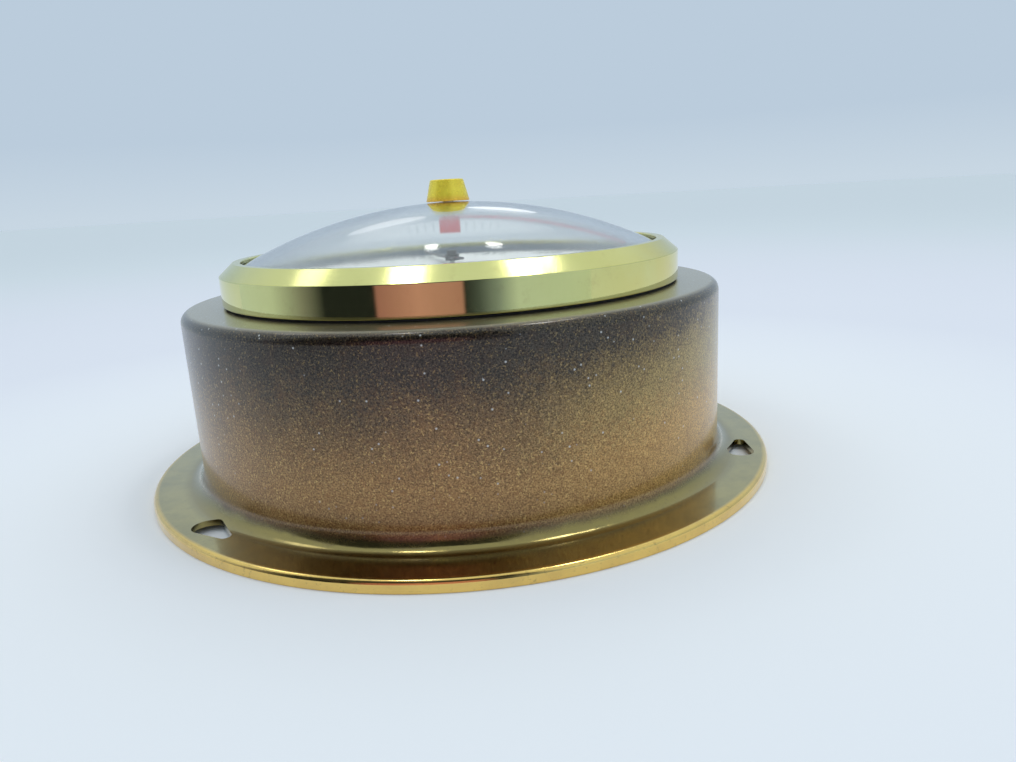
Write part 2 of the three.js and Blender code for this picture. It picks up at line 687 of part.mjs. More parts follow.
function rockingShaft() {
  const shaft = solidCrossRod(ROCKER_R, shaftLow(), shaftHigh(), ROCKER_X, ROCKER_Z, SIDES_SCREW);
  const pivots = solidCrossRod(ROCKER_PIVOT_R, POST_LOW_Y, POST_HIGH_Y, ROCKER_X, ROCKER_Z, SIDES_SCREW);
  return join(shaft, pivots);
}

function shaftLow() {
  return POST_LOW_Y + PIVOT_POST_R + REST_GAP * 2;
}

function shaftHigh() {
  return POST_HIGH_Y - PIVOT_POST_R - REST_GAP * 2;
}

// The cutter of a bore on the rocking shaft's axis that reaches some way to each side of y.
function shaftBore(radius, y, reach) {
  return solidCrossRod(radius + RUNNING, y - reach, y + reach, ROCKER_X, ROCKER_Z, SIDES_SCREW);
}

// A lever with an eye on the rocking shaft. It reaches from the shaft along X or Z.
function shaftLever(y, reach) {
  const half = LEVER_THICK / 2;
  const eye = solidCrossRod(LEVER_EYE_R, y - half, y + half, ROCKER_X, ROCKER_Z);
  return cut(join(eye, reach(y - half, y + half)), shaftBore(ROCKER_R, y, LEVER_THICK));
}

function rockerCrank() {
  const half = ROCKER_R / 2;
  const x = ROCKER_X - CRANK_LENGTH;
  return shaftLever(ARM_Y, (low, high) =>
    solidBlock([x - LINK_R, ROCKER_X], [low, high], [ROCKER_Z - half, ROCKER_Z + half]),
  );
}

function chainArm() {
  const half = ROCKER_R - REST_GAP;
  return shaftLever(chainY(), (low, high) =>
    solidBlock([ROCKER_X - half, ROCKER_X + half], [low, high], [ROCKER_Z, CHAIN_Z + CHAIN_HEIGHT / 2]),
  );
}

function chainY() {
  return -DRUM_CORE_R - RUNNING - CHAIN_THICK / 2;
}

function pivotPost(y) {
  const post = solidRod(PIVOT_POST_R, BASE_TOP + REST_GAP, ROCKER_Z + PIVOT_POST_R, ROCKER_X, y);
  return cut(post, shaftBore(ROCKER_PIVOT_R, y, PIVOT_POST_R * 2));
}

// A row of flat oval links between the chain drum and the arm on the rocking shaft.
function chain() {
  const length = ROCKER_X - ROCKER_R - REST_GAP;
  const links = Math.floor(length / CHAIN_LINK);
  const half = CHAIN_HEIGHT / 2;
  const waist = half / 2;
  const slope = CHAIN_LINK / 4;
  const side = new THREE.Shape();
  side.moveTo(0, -waist);
  for (let link = 0; link < links; link += 1) {
    side.lineTo(link * CHAIN_LINK + slope, -half);
    side.lineTo((link + 1) * CHAIN_LINK - slope, -half);
    side.lineTo((link + 1) * CHAIN_LINK, -waist);
  }
  for (let link = links; link > 0; link -= 1) {
    side.lineTo(link * CHAIN_LINK, waist);
    side.lineTo(link * CHAIN_LINK - slope, half);
    side.lineTo((link - 1) * CHAIN_LINK + slope, half);
  }
  side.lineTo(0, waist);
  side.closePath();
  return extruded(side, CHAIN_THICK)
    .rotateX(TURN / 4)
    .translate(0, chainY() + CHAIN_THICK / 2, CHAIN_Z);
}

function chainDrum() {
  const half = CHAIN_HEIGHT / 2 + REST_GAP * 2;
  const flange = half + SHEET / 3;
  return turned(
    outline([
      [ARBOR_R + RUNNING, CHAIN_Z - flange],
      [DRUM_FLANGE_R, CHAIN_Z - flange],
      [DRUM_FLANGE_R, CHAIN_Z - half],
      [DRUM_CORE_R, CHAIN_Z - half],
      [DRUM_CORE_R, CHAIN_Z + half],
      [DRUM_FLANGE_R, CHAIN_Z + half],
      [DRUM_FLANGE_R, CHAIN_Z + flange],
      [ARBOR_R + RUNNING, CHAIN_Z + flange],
    ]),
    SIDES_ROD,
  );
}

function handArbor() {
  return join(
    solidRod(ARBOR_R, ARBOR_BOTTOM, ARBOR_TOP),
    solidRod(COLLET_R, COIL_BOTTOM - REST_GAP, COIL_TOP + REST_GAP),
  );
}

// A flat spiral that keeps the chain tight.
function hairspring() {
  const steps = COIL_TURNS * COIL_STEPS;
  const point = (step, offset) => {
    const radius = COIL_INNER_R + ((COIL_OUTER_R - COIL_INNER_R) * step) / steps + offset;
    return polar(radius, (step / steps) * COIL_TURNS * 360);
  };
  const outerEdge = [];
  const innerEdge = [];
  for (let step = 0; step <= steps; step += 1) {
    outerEdge.push(new THREE.Vector2(...point(step, COIL_THICK)));
    innerEdge.unshift(new THREE.Vector2(...point(step, 0)));
  }
  const strip = new THREE.Shape([...outerEdge, ...innerEdge]);
  return extruded(strip, COIL_TOP - COIL_BOTTOM).translate(0, 0, COIL_BOTTOM);
}

function indicatingHand() {
  const tipWidth = HAND_BLADE_THICK;
  const blade = new THREE.Shape([
    new THREE.Vector2(-HAND_BOSS_R, -HAND_TAIL),
    new THREE.Vector2(HAND_BOSS_R, -HAND_TAIL),
    new THREE.Vector2(HAND_BOSS_R, 0),
    new THREE.Vector2(tipWidth / 2, HAND_LENGTH),
    new THREE.Vector2(-tipWidth / 2, HAND_LENGTH),
    new THREE.Vector2(-HAND_BOSS_R, 0),
  ]);
  const strip = extruded(blade, HAND_BLADE_THICK).translate(0, 0, HAND_BLADE_BOTTOM);
  const collar = solidRod(HAND_COLLAR_R, HAND_BOSS_BOTTOM, HAND_BLADE_BOTTOM + HAND_BLADE_THICK * 2);
  const boss = solidRod(HAND_BOSS_R, HAND_BLADE_BOTTOM, HAND_BOSS_TOP);
  const bore = solidRod(ARBOR_R + RUNNING, DIAL_TOP, ARBOR_TOP + REST_GAP);
  return cut(join(solidOf(strip), collar, boss), bore);
}

function adjustingScrew() {
  const head = ADJUST_HEAD_TOP - SCREW_HEAD / 4;
  const tip = BRIDGE_BAR_BOTTOM - REST_GAP;
  return screw(BRIDGE_X, CAPSULE_Y, head, tip, ADJUST_HEAD_R, ADJUST_SCREW_R);
}

function caseGasket() {
  const outerR = BEZEL_R - REST_GAP * 4;
  return ring(MOUTH_R + REST_GAP, outerR, DRUM_TOP + RUNNING, BEZEL_BOTTOM - RUNNING);
}

function hairspringStud() {
  const x = COIL_OUTER_R + SHEET + COIL_THICK;
  return rod(HAIRSPRING_STUD_R, TOP_PLATE_TOP + REST_GAP, COIL_TOP + REST_GAP, x);
}

add("case_shell", caseShell(), "bronze");
add("case_gasket", caseGasket(), "rubber");
add("back_plate", backPlate(), "tinplate");
add("movement_can", movementCan(), "tinplate");
add("bezel", bezel(), "brass");
add("dome_lens", domeLens(), "acrylic");
add("lens_gasket", ring(SEAL_INNER_R, LENS_RIM_R, SEAL_BOTTOM, SEAL_TOP), "rubber");
add("reveal_ring", ring(REVEAL_R - REVEAL_WALL, REVEAL_R, DIAL_TOP + RUNNING, REVEAL_TOP), "dark_ring");
add("dial", ring(DIAL_HOLE_R, DIAL_R, DIAL_BOTTOM, DIAL_TOP), "dial_white");

add("set_knob", setKnob(), "brass");
add("set_stem", rod(STEM_R, STEM_BOTTOM, STEM_TOP), "nickel");
add("lens_bush", lensBush(), "brass");
add("set_hub", setHub(), "red_enamel");
add("set_hand", setHand(), "red_enamel").rotation.z = radians(SET_HAND_BEARING);

add("base_plate", basePlate(), "brass");
add("top_plate", topPlate(), "brass");
add("arbor_cock", arborCock(), "brass");
add("cock_screw", screw(0, COCK_Y, TOP_PLATE_TOP + RUNNING, TOP_PLATE_BOTTOM - SCREW_REACH), "steel");
thirds(STUD_BEARING).forEach((bearing, index) => {
  const [x, y] = polar(STUD_CIRCLE_R, bearing);
  add(`back_stud_${index + 1}`, backStud(x, y), "brass");
  const backScrew = screw(x, y, BACK_PLATE_BOTTOM - RUNNING, CAN_BOTTOM - SHEET * 2);
  add(`back_screw_${index + 1}`, backScrew, "brass");
});
thirds(BASE_SCREW_BEARING).forEach((bearing, index) => {
  const [x, y] = polar(BASE_SCREW_CIRCLE_R, bearing);
  add(`base_screw_${index + 1}`, screw(x, y, CAN_BOTTOM - RUNNING, BASE_TOP - REST_GAP), "steel");
});
thirds(PILLAR_BEARING).forEach((bearing, index) => {
  const [x, y] = polar(PILLAR_CIRCLE_R, bearing);
  add(`pillar_${index + 1}`, pillar(x, y), "brass");
  const pillarScrew = screw(x, y, TOP_PLATE_TOP + RUNNING, TOP_PLATE_BOTTOM - SCREW_REACH);
  add(`pillar_screw_${index + 1}`, pillarScrew, "steel");
});

add("capsule", capsule(), "nickel");
add("capsule_post", capsulePost(), "steel");
add("knife_pin", knifePin(), "steel");
add("spring_bridge", springBridge(), "steel");
add("mainspring", mainspring(), "steel");
bridgeFeet().forEach((y, index) => {
  const head = BASE_TOP + REST_GAP + BRIDGE_LEG_THICK + RUNNING;
  add(`bridge_screw_${index + 1}`, screw(BRIDGE_X, y, head, BASE_BOTTOM + REST_GAP), "steel");
});
springScrewYs().forEach((y, index) => {
  const head = SPRING_BOTTOM + SPRING_THICK + RUNNING;
  add(`spring_screw_${index + 1}`, screw(BRIDGE_X, y, head, BRIDGE_BAR_BOTTOM + REST_GAP), "steel");
});
add("adjusting_screw", adjustingScrew(), "steel");

add("regulating_arm", regulatingArm(), "brass");
add("arm_screw", screw(ARM_SCREW_X, ARM_Y, ARM_TOP + RUNNING, SPRING_TOP - SPRING_THICK), "steel");
add("link_wire", linkWire(), "steel");
add("rocking_shaft", rockingShaft(), "steel");
add("rocker_crank", rockerCrank(), "brass");
add("chain_arm", chainArm(), "brass");
add("pivot_post_1", pivotPost(POST_LOW_Y), "brass");
add("pivot_post_2", pivotPost(POST_HIGH_Y), "brass");
add("chain", chain(), "steel");
add("chain_drum", chainDrum(), "brass");
add("hand_arbor", handArbor(), "steel");
add("hairspring", hairspring(), "steel");
add("hairspring_stud", hairspringStud(), "brass");
add("indicating_hand", indicatingHand(), "black_enamel");

export default gauge;
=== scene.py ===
"""The looks of a ship's pressure gauge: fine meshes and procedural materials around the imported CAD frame."""
import json
import math

import bmesh
import bpy
from mathutils import Matrix, Vector


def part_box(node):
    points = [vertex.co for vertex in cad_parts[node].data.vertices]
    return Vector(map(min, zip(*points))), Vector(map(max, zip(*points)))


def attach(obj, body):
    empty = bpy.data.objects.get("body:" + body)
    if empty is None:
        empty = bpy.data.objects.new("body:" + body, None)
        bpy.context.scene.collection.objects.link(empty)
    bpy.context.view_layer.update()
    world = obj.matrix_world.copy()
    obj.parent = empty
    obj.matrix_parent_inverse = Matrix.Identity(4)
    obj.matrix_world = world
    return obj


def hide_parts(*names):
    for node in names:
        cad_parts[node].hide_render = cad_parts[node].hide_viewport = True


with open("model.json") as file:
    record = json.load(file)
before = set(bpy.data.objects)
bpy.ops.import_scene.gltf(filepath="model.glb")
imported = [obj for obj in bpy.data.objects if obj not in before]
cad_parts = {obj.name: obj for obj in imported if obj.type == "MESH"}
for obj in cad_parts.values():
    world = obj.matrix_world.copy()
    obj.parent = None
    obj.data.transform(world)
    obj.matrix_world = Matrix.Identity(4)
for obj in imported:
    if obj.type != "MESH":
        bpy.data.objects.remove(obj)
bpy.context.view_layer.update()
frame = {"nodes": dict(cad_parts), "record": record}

MM = 0.001
TURN = 2 * math.pi
ON_AXIS = 1e-6


def span(node):
    """The greatest radius, the lowest point and the highest point of a CAD node, in millimetres."""
    low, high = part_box(node)
    return [round(measure / MM, 4) for measure in (high[0], low[2], high[2])]


# What the frame gives, in millimetres.
FLANGE_R, FLANGE_BOTTOM, DRUM_TOP = span("case_shell")
BEZEL_R, BEZEL_BOTTOM, BEZEL_TOP = span("bezel")
LENS_RIM_R, LENS_RIM_BOTTOM, _ = span("dome_lens")
REVEAL_R, REVEAL_BOTTOM, REVEAL_TOP = span("reveal_ring")
DIAL_R, DIAL_BOTTOM, DIAL_TOP = span("dial")
KNOB_BOTTOM_R, KNOB_BOTTOM, KNOB_TOP = span("set_knob")
STEM_R, _, STEM_TOP = span("set_stem")
HUB_R, HUB_BOTTOM, HUB_TOP = span("set_hub")

# Case, in millimetres. Turns and bearings are in degrees.
SHEET = 1.0
FLANGE_TOP = 2.0
FLANGE_EDGE = 0.8
HEM_WIDTH = 1.8
DRUM_R = 50.9
FOOT_FILLET = 3.0
SHOULDER_FILLET = 1.8
MOUTH_R = 42.2
HOLE_CIRCLE_R = 55.2
KEYHOLE_R = 2.45
KEY_TIP_R = 1.0
KEY_SLOT_TURN = 6.0
KEYHOLE_BEARINGS = (87.0, 208.0, 326.0)
EDGE = 0.15

# Bezel, lens, dial and hands.
BEZEL_SIDE_TOP = 39.5
BEZEL_TOP_R = 41.0
BEZEL_BORE_R = 39.6
BEZEL_LIP = 40.1
BEZEL_SKIRT_R = 42.0
BEZEL_EDGE = 0.25
LENS_BALL_R = 87.5
LENS_BALL_Z = -37.2
LENS_BASE_R = 39.3
LENS_WALL = 1.4
LENS_RIM_TOP = 40.0
LENS_HOLE_R = 1.9
REVEAL_WALL = 0.7
DIAL_HOLE_R = 1.0
DIAL_EDGE = 0.1
KNOB_TOP_R = 3.2
KNOB_EDGE = 0.35
STEM_BORE_R = STEM_R + 0.05
STEM_END_GAP = 0.1
HUB_FLOOR = 0.25
SET_HAND_REACH = 35.5
SET_HAND_START = STEM_R + 0.3
SET_HAND_TIP_Z = 40.8
SET_HAND_THICK = 0.4
SET_HAND_ROOT_WIDTH = 1.4
SET_HAND_TIP_WIDTH = 0.7
SET_HAND_EYE_R = 1.9
SET_HAND_EYE_EDGE = 0.05
SET_HAND_GAP = 0.1
SET_HAND_BEARING = -9.0

# The printed scale of the dial.
SCALE_FIRST = 950
SCALE_DIVISIONS = 100
SCALE_NUMBER_EVERY = 10
SCALE_START = 240.0
SCALE_SWEEP = 300.0
SCALE_R = 35.8
LONG_LINE = 3.4
MIDDLE_LINE = 2.4
SHORT_LINE = 1.6
LINE_WIDTH = 0.28
BOLD_LINE_WIDTH = 0.5
PRINT_DEPTH = 0.04
NUMBER_SIZE = 4.2
NUMBER_R = 28.6

# Where a finish, a painted shade or a painted reflection begins and where it is complete, in millimetres.
# Heights and radii are the object's own, and a side is a distance across it, to the right of the dial's
# centre.
BRONZE_HEIGHTS = (2.7, 3.9)
FOOT_SHADE_HEIGHTS = (5.2, 3.4)
# Painted reflection: the drum goes almost black above, where it mirrors the dim side of the room.
DARK_PATINA_AND_PAINTED_REFLECTION_HEIGHTS = (10.0, 28.0)
# Painted reflection: an olive band along the edge of the drum's dark top.
OLIVE_BAND_BOTTOM = (11.0, 18.0)
OLIVE_BAND_TOP = (27.0, 19.0)
# Painted reflection: the drum's flat top is painted paler.
SHELF_HEIGHTS = (33.0, 33.8)
SHELF_RADII = (50.2, 49.4)
DUST_HEIGHTS = (2.0, 14.0)
FILLET_RADII = (55.0, 53.4)
RIM_RADII = (58.9, 59.5)
# Painted reflection: the drum turns a brighter gold towards one side, and the edge of its dark top climbs
# there.
GOLD_CLIMB_SIDE = (-5.0, 45.0)
GOLD_CLIMB = 7.0
GOLD_SIDE = (-5.0, 38.0)
AMBER_SIDE = (8.0, 46.0)
CHAMFER_HEIGHTS = (39.4, 39.6)
KNOB_FOOT_HEIGHTS = (51.6, 50.6)

# How far a finish's edge wanders, and how deep its relief is, in millimetres.
BRONZE_WANDER = 0.5
# The edge of the painted dark reflection on the drum wanders this far.
DARK_EDGE_WANDER = 3.0
SPECKLE_WANDER = 5.0
LATHE_RELIEF = 0.02
PAINT_RELIEF = 0.03
GRAIN_RELIEF = 0.05

# How fine the rings are that a lathe leaves, and how little they change round the object.
LATHE_SCALE = 9000.0
SPUN_SCALE = 6000.0
RING_DRIFT = 0.02

# How finely round shapes are cut.
SIDES = 240
SMALL_SIDES = 64
ARC_STEPS = 8
SHARP_ANGLE = math.radians(28)

# Camera, as it stands over the object, before the object's own turn on the floor.
OBJECT_TURN = math.radians(-12)
CAMERA_BACK = 150.57 * MM
CAMERA_HEIGHT = 51.03 * MM
CAMERA_YAW = math.radians(3.67)
CAMERA_PITCH = math.radians(13.94)
CAMERA_ROLL = math.radians(-3.28)
CAMERA_LENS = 26.6
CAMERA_CLIP = 5 * MM

# Lamps: name, direction from the dial, distance, size (both in metres) and power in watts.
LAMP_COLOUR = (1.0, 0.99, 0.96)
LAMPS = (
    ("left_softbox", (-0.56, 0.31, 0.77), 0.6, (0.15, 0.11), 0.07),
    ("top_lamp", (-0.218, -0.005, 0.976), 0.6, (0.06, 0.08), 0.20),
    ("right_softbox", (0.33, 0.06, 0.94), 0.6, (0.10, 0.08), 0.26),
    ("right_lamp", (0.43, 0.15, 0.89), 0.6, (0.03, 0.03), 0.06),
    ("back_window_left", (-0.155, 0.874, 0.46), 0.9, (0.18, 0.08), 0.022),
    ("back_window_right", (0.118, 0.937, 0.329), 0.9, (0.14, 0.06), 0.018),
    ("back_lamp_left", (-0.06, 0.66, 0.75), 0.9, (0.04, 0.03), 0.022),
    ("back_lamp_right", (0.13, 0.66, 0.74), 0.9, (0.05, 0.03), 0.022),
)

# Room and floor. The room's heights are the upward part of a direction, the floor's distances are in metres.
WALL_HEIGHTS = (0.0, 0.08)
OVERHEAD_HEIGHTS = (0.25, 0.6)
FLOOR_R = 6.0
# Painted light: the floor is painted whiter close round the object.
FLOOR_PAINTED_LIGHT_FADE = (0.08, 0.18)
FLOOR_FAR_FADE = (0.3, 0.7)

# The dim card that reflections see, in metres, with its bearings in degrees from the front.
SCREEN_STEPS = 48
SCREEN_LEFT = 110
SCREEN_RIGHT = -60
SCREEN_RADIUS = 0.235
SCREEN_HEIGHT = 0.42
SCREEN_LOW_HEIGHT = 0.09
SCREEN_TALL_FROM = 70
SCREEN_TALL_TO = -20
SCREEN_DARK_HEIGHTS = (0.09, 0.14)
SCREEN_TONES = (
    (0.00, (0.86, 0.92, 0.96)),
    (0.15, (0.84, 0.88, 0.95)),
    (0.254, (0.34, 0.32, 0.36)),
    (0.32, (0.014, 0.016, 0.022)),
    (0.452, (0.012, 0.014, 0.020)),
    (0.460, (0.56, 0.22, 0.27)),
    (0.56, (0.86, 0.38, 0.44)),
    (0.664, (0.68, 0.30, 0.34)),
    (0.672, (0.03, 0.032, 0.04)),
    (0.705, (0.10, 0.115, 0.15)),
    (0.752, (0.34, 0.38, 0.48)),
    (0.80, (0.80, 0.86, 0.95)),
    (1.00, (0.86, 0.92, 0.96)),
)


# ---------------------------------------------------------------- camera, lights and floor


def add_object(name, data):
    made = bpy.data.objects.new(name, data)
    bpy.context.scene.collection.objects.link(made)
    return made


def plain_mesh(name, surface):
    """A mesh from a bmesh, which is freed."""
    mesh = bpy.data.meshes.new(name)
    surface.to_mesh(mesh)
    surface.free()
    return mesh


def make_camera():
    data = bpy.data.cameras.new("camera")
    data.lens = CAMERA_LENS
    data.clip_start = CAMERA_CLIP
    camera = add_object("camera", data)
    forward = Vector((math.sin(CAMERA_YAW), math.cos(CAMERA_YAW), -math.tan(CAMERA_PITCH))).normalized()
    level = Vector((math.cos(CAMERA_YAW), -math.sin(CAMERA_YAW), 0))
    upright = level.cross(forward)
    right = math.cos(CAMERA_ROLL) * level + math.sin(CAMERA_ROLL) * upright
    up = math.cos(CAMERA_ROLL) * upright - math.sin(CAMERA_ROLL) * level
    aim = Matrix((right, up, -forward)).transposed().to_4x4()
    place = Matrix.Translation((0, -CAMERA_BACK, CAMERA_HEIGHT))
    camera.matrix_world = Matrix.Rotation(OBJECT_TURN, 4, "Z") @ place @ aim
    bpy.context.scene.camera = camera


def make_lamp(name, direction, distance, size, power):
    """A small studio light, along a direction from the dial, that faces the dial."""
    data = bpy.data.lights.new(name, "AREA")
    data.shape = "ELLIPSE"
    data.size, data.size_y = size
    data.energy = power
    data.color = LAMP_COLOUR
    light = add_object(name, data)
    ray = (Matrix.Rotation(OBJECT_TURN, 3, "Z") @ Vector(direction)).normalized()
    light.location = Vector((0, 0, BEZEL_TOP * MM)) + ray * distance
    light.rotation_mode = "QUATERNION"
    light.rotation_quaternion = (-ray).to_track_quat("-Z", "Y")
    light.visible_camera = False


def make_world():
    """A pale room: light at floor level, a cooler grey blue above, and brighter overhead."""
    world = bpy.data.worlds.new("pale_room")
    bpy.context.scene.world = world
    world.use_nodes = True
    nodes = Nodes(world.node_tree)
    direction = nodes.add("ShaderNodeTexCoord").outputs["Generated"]
    height = nodes.add("ShaderNodeSeparateXYZ", Vector=direction).outputs["Z"]
    wall = nodes.blend(nodes.ramp(height, *WALL_HEIGHTS), (0.575, 0.675, 0.765), (0.497, 0.604, 0.716))
    room = nodes.blend(nodes.ramp(height, *OVERHEAD_HEIGHTS), wall, (0.70, 0.79, 0.83))
    background = nodes.add("ShaderNodeBackground", Color=room, Strength=1.0)
    output = nodes.add("ShaderNodeOutputWorld")
    nodes.link(background.outputs[0], output.inputs["Surface"])


def floor_paper():
    """Pale paper that turns to the room's grey blue far away, with painted light that makes it whitest near
    the middle.
    """
    material, nodes, shader = new_material("pale_floor")
    distance = nodes.add("ShaderNodeVectorMath", operation="LENGTH")
    nodes.link(nodes.place(), distance.inputs[0])
    tone = nodes.blend(nodes.noise(6.0, detail=3), (0.85, 0.855, 0.93), (0.87, 0.87, 0.94))
    # Painted light: a whiter pool on the floor round the object.
    bright = nodes.ramp(distance.outputs["Value"], *FLOOR_PAINTED_LIGHT_FADE)
    tone = nodes.blend(bright, (0.96, 0.965, 1.0), tone)
    far = nodes.ramp(distance.outputs["Value"], *FLOOR_FAR_FADE)
    tone = nodes.blend(far, tone, (0.835, 0.875, 0.915))
    nodes.link(tone, shader.inputs["Base Color"])
    shader.inputs["Roughness"].default_value = 1.0
    shader.inputs["Specular IOR Level"].default_value = 0.05
    return material


def make_floor():
    surface = bmesh.new()
    bmesh.ops.create_circle(surface, cap_ends=True, segments=SIDES, radius=FLOOR_R)
    floor = add_object("floor", plain_mesh("floor", surface))
    floor.data.materials.append(floor_paper())


def screen_surface():
    """A curved upright card, taller in front than at its two ends."""
    surface = bmesh.new()
    columns = []
    for step in range(SCREEN_STEPS + 1):
        bearing = math.radians(SCREEN_LEFT + (SCREEN_RIGHT - SCREEN_LEFT) * step / SCREEN_STEPS)
        x, y = -SCREEN_RADIUS * math.sin(bearing), -SCREEN_RADIUS * math.cos(bearing)
        tall = SCREEN_TALL_TO < math.degrees(bearing) < SCREEN_TALL_FROM
        top = SCREEN_HEIGHT if tall else SCREEN_LOW_HEIGHT
        columns.append([surface.verts.new((x, y, height)) for height in (0, top)])
    for near, far in zip(columns, columns[1:]):
        surface.faces.new((near[0], far[0], far[1], near[1]))
    return surface


def screen_tones():
    """The tones of the dim side of the room: upright stripes low down, almost black above."""
    material, nodes, shader = new_material("dim_side")
    parts = nodes.add("ShaderNodeSeparateXYZ", Vector=nodes.place())
    leftward, backward = [nodes.times(parts.outputs[axis], -1.0) for axis in (0, 1)]
    bearing = nodes.math("ARCTAN2", leftward, backward)
    along = nodes.ramp(bearing, math.radians(SCREEN_LEFT), math.radians(SCREEN_RIGHT))
    low = nodes.stops(along, SCREEN_TONES)
    high = nodes.blend(nodes.noise(14.0), (0.03, 0.03, 0.032), (0.05, 0.048, 0.046))
    tone = nodes.blend(nodes.ramp(parts.outputs[2], *SCREEN_DARK_HEIGHTS), low, high)
    nodes.link(tone, shader.inputs["Base Color"])
    shader.inputs["Roughness"].default_value = 1.0
    return material


def make_screen():
    """A curved card round the front that only reflections see: the dim side of the room."""
    screen = add_object("dim_side", plain_mesh("dim_side", screen_surface()))
    screen.rotation_euler.z = OBJECT_TURN
    screen.data.materials.append(screen_tones())
    screen.visible_camera = False
    screen.visible_diffuse = False
    screen.visible_shadow = False
    screen.visible_transmission = False


# ---------------------------------------------------------------- node helpers


class Nodes:
    """Short names for the nodes that every material here is built from."""

    def __init__(self, tree):
        self.tree = tree
        tree.nodes.clear()

    def add(self, kind, operation=None, **inputs):
        node = self.tree.nodes.new(kind)
        if operation:
            node.operation = operation
        for name, value in inputs.items():
            self.feed(node.inputs[name.replace("_", " ")], value)
        return node

    def link(self, source, target):
        self.tree.links.new(source, target)

    def feed(self, socket, value):
        if isinstance(value, bpy.types.NodeSocket):
            self.link(value, socket)
        elif isinstance(value, tuple) and len(value) == 3 and socket.type == "RGBA":
            socket.default_value = (*value, 1.0)
        else:
            socket.default_value = value

    def math(self, operation, first, second=0.0):
        node = self.add("ShaderNodeMath", operation=operation)
        self.feed(node.inputs[0], first)
        self.feed(node.inputs[1], second)
        return node.outputs[0]

    def times(self, first, second):
        return self.math("MULTIPLY", first, second)

    def place(self):
        """The place in the object's own frame, in metres."""
        return self.add("ShaderNodeTexCoord").outputs["Object"]

    def lathe_rings(self, scale, detail=2.0, roughness=0.55):
        """Noise that runs in fine rings, as a lathe leaves them."""
        parts = self.add("ShaderNodeSeparateXYZ", Vector=self.place())
        bearing = self.math("ARCTAN2", parts.outputs[1], parts.outputs[0])
        ringed = self.add("ShaderNodeCombineXYZ")
        self.link(self.radius(parts), ringed.inputs[0])
        self.link(parts.outputs[2], ringed.inputs[1])
        self.link(self.times(bearing, RING_DRIFT), ringed.inputs[2])
        return self.noise(scale, detail, ringed.outputs[0], roughness)

    def radius(self, parts):
        """How far a place, split into its coordinates, is from the upright axis."""
        across = self.math("POWER", parts.outputs[0], 2.0)
        along = self.math("POWER", parts.outputs[1], 2.0)
        return self.math("SQRT", self.math("ADD", across, along))

    def noise(self, scale, detail=4.0, vector=None, roughness=0.55):
        node = self.add("ShaderNodeTexNoise", Scale=scale, Detail=detail, Roughness=roughness)
        self.link(self.place() if vector is None else vector, node.inputs["Vector"])
        return node.outputs["Fac"]

    def patches(self, scale, detail, low, high, bottom=0.0, top=1.0, roughness=0.55):
        """Noise whose values from low to high are stretched to run from bottom to top."""
        return self.ramp(self.noise(scale, detail, roughness=roughness), low, high, bottom, top)

    def specks(self, scale, share, size):
        """1 inside small round specks in a share of the cells, 0 elsewhere."""
        cells = self.add("ShaderNodeTexVoronoi", Scale=scale)
        self.link(self.place(), cells.inputs["Vector"])
        chance = self.add("ShaderNodeSeparateColor", Color=cells.outputs["Color"]).outputs[0]
        chosen = self.math("LESS_THAN", chance, share)
        return self.times(chosen, self.ramp(cells.outputs["Distance"], size, size / 2))

    def ramp(self, source, low, high, bottom=0.0, top=1.0):
        node = self.add("ShaderNodeMapRange", Value=source)
        for name, value in (("From Min", low), ("From Max", high), ("To Min", bottom), ("To Max", top)):
            self.feed(node.inputs[name], value)
        return node.outputs[0]

    def across(self, source, limits, bottom=0.0, top=1.0):
        """A ramp between two limits in millimetres."""
        return self.ramp(source, limits[0] * MM, limits[1] * MM, bottom, top)

    def wander(self, scale, detail, low, high, reach, roughness=0.55):
        """Noise that runs from minus to plus reach, in millimetres."""
        return self.patches(scale, detail, low, high, -reach * MM, reach * MM, roughness)

    def blend(self, factor, first, second):
        node = self.add("ShaderNodeMix")
        node.data_type = "RGBA"
        self.feed(node.inputs[0], factor)
        self.feed(node.inputs[6], first)
        self.feed(node.inputs[7], second)
        return node.outputs[2]

    def stops(self, source, tones):
        """A colour that runs through the given (position, colour) tones."""
        node = self.add("ShaderNodeValToRGB", Fac=source)
        ramp = node.color_ramp
        ramp.elements[0].position, ramp.elements[1].position = tones[0][0], tones[-1][0]
        ramp.elements[0].color, ramp.elements[1].color = (*tones[0][1], 1.0), (*tones[-1][1], 1.0)
        for position, tone in tones[1:-1]:
            ramp.elements.new(position).color = (*tone, 1.0)
        return node.outputs["Color"]

    def bump(self, height, strength, relief, normal=None):
        """A bumpy normal, its relief in millimetres."""
        node = self.add("ShaderNodeBump", Strength=strength, Distance=relief * MM, Height=height)
        if normal is not None:
            self.link(normal, node.inputs["Normal"])
        return node.outputs[0]


def new_material(name):
    material = bpy.data.materials.new(name)
    material.use_nodes = True
    nodes = Nodes(material.node_tree)
    shader = nodes.add("ShaderNodeBsdfPrincipled")
    output = nodes.add("ShaderNodeOutputMaterial")
    nodes.link(shader.outputs[0], output.inputs["Surface"])
    return material, nodes, shader


# ---------------------------------------------------------------- materials


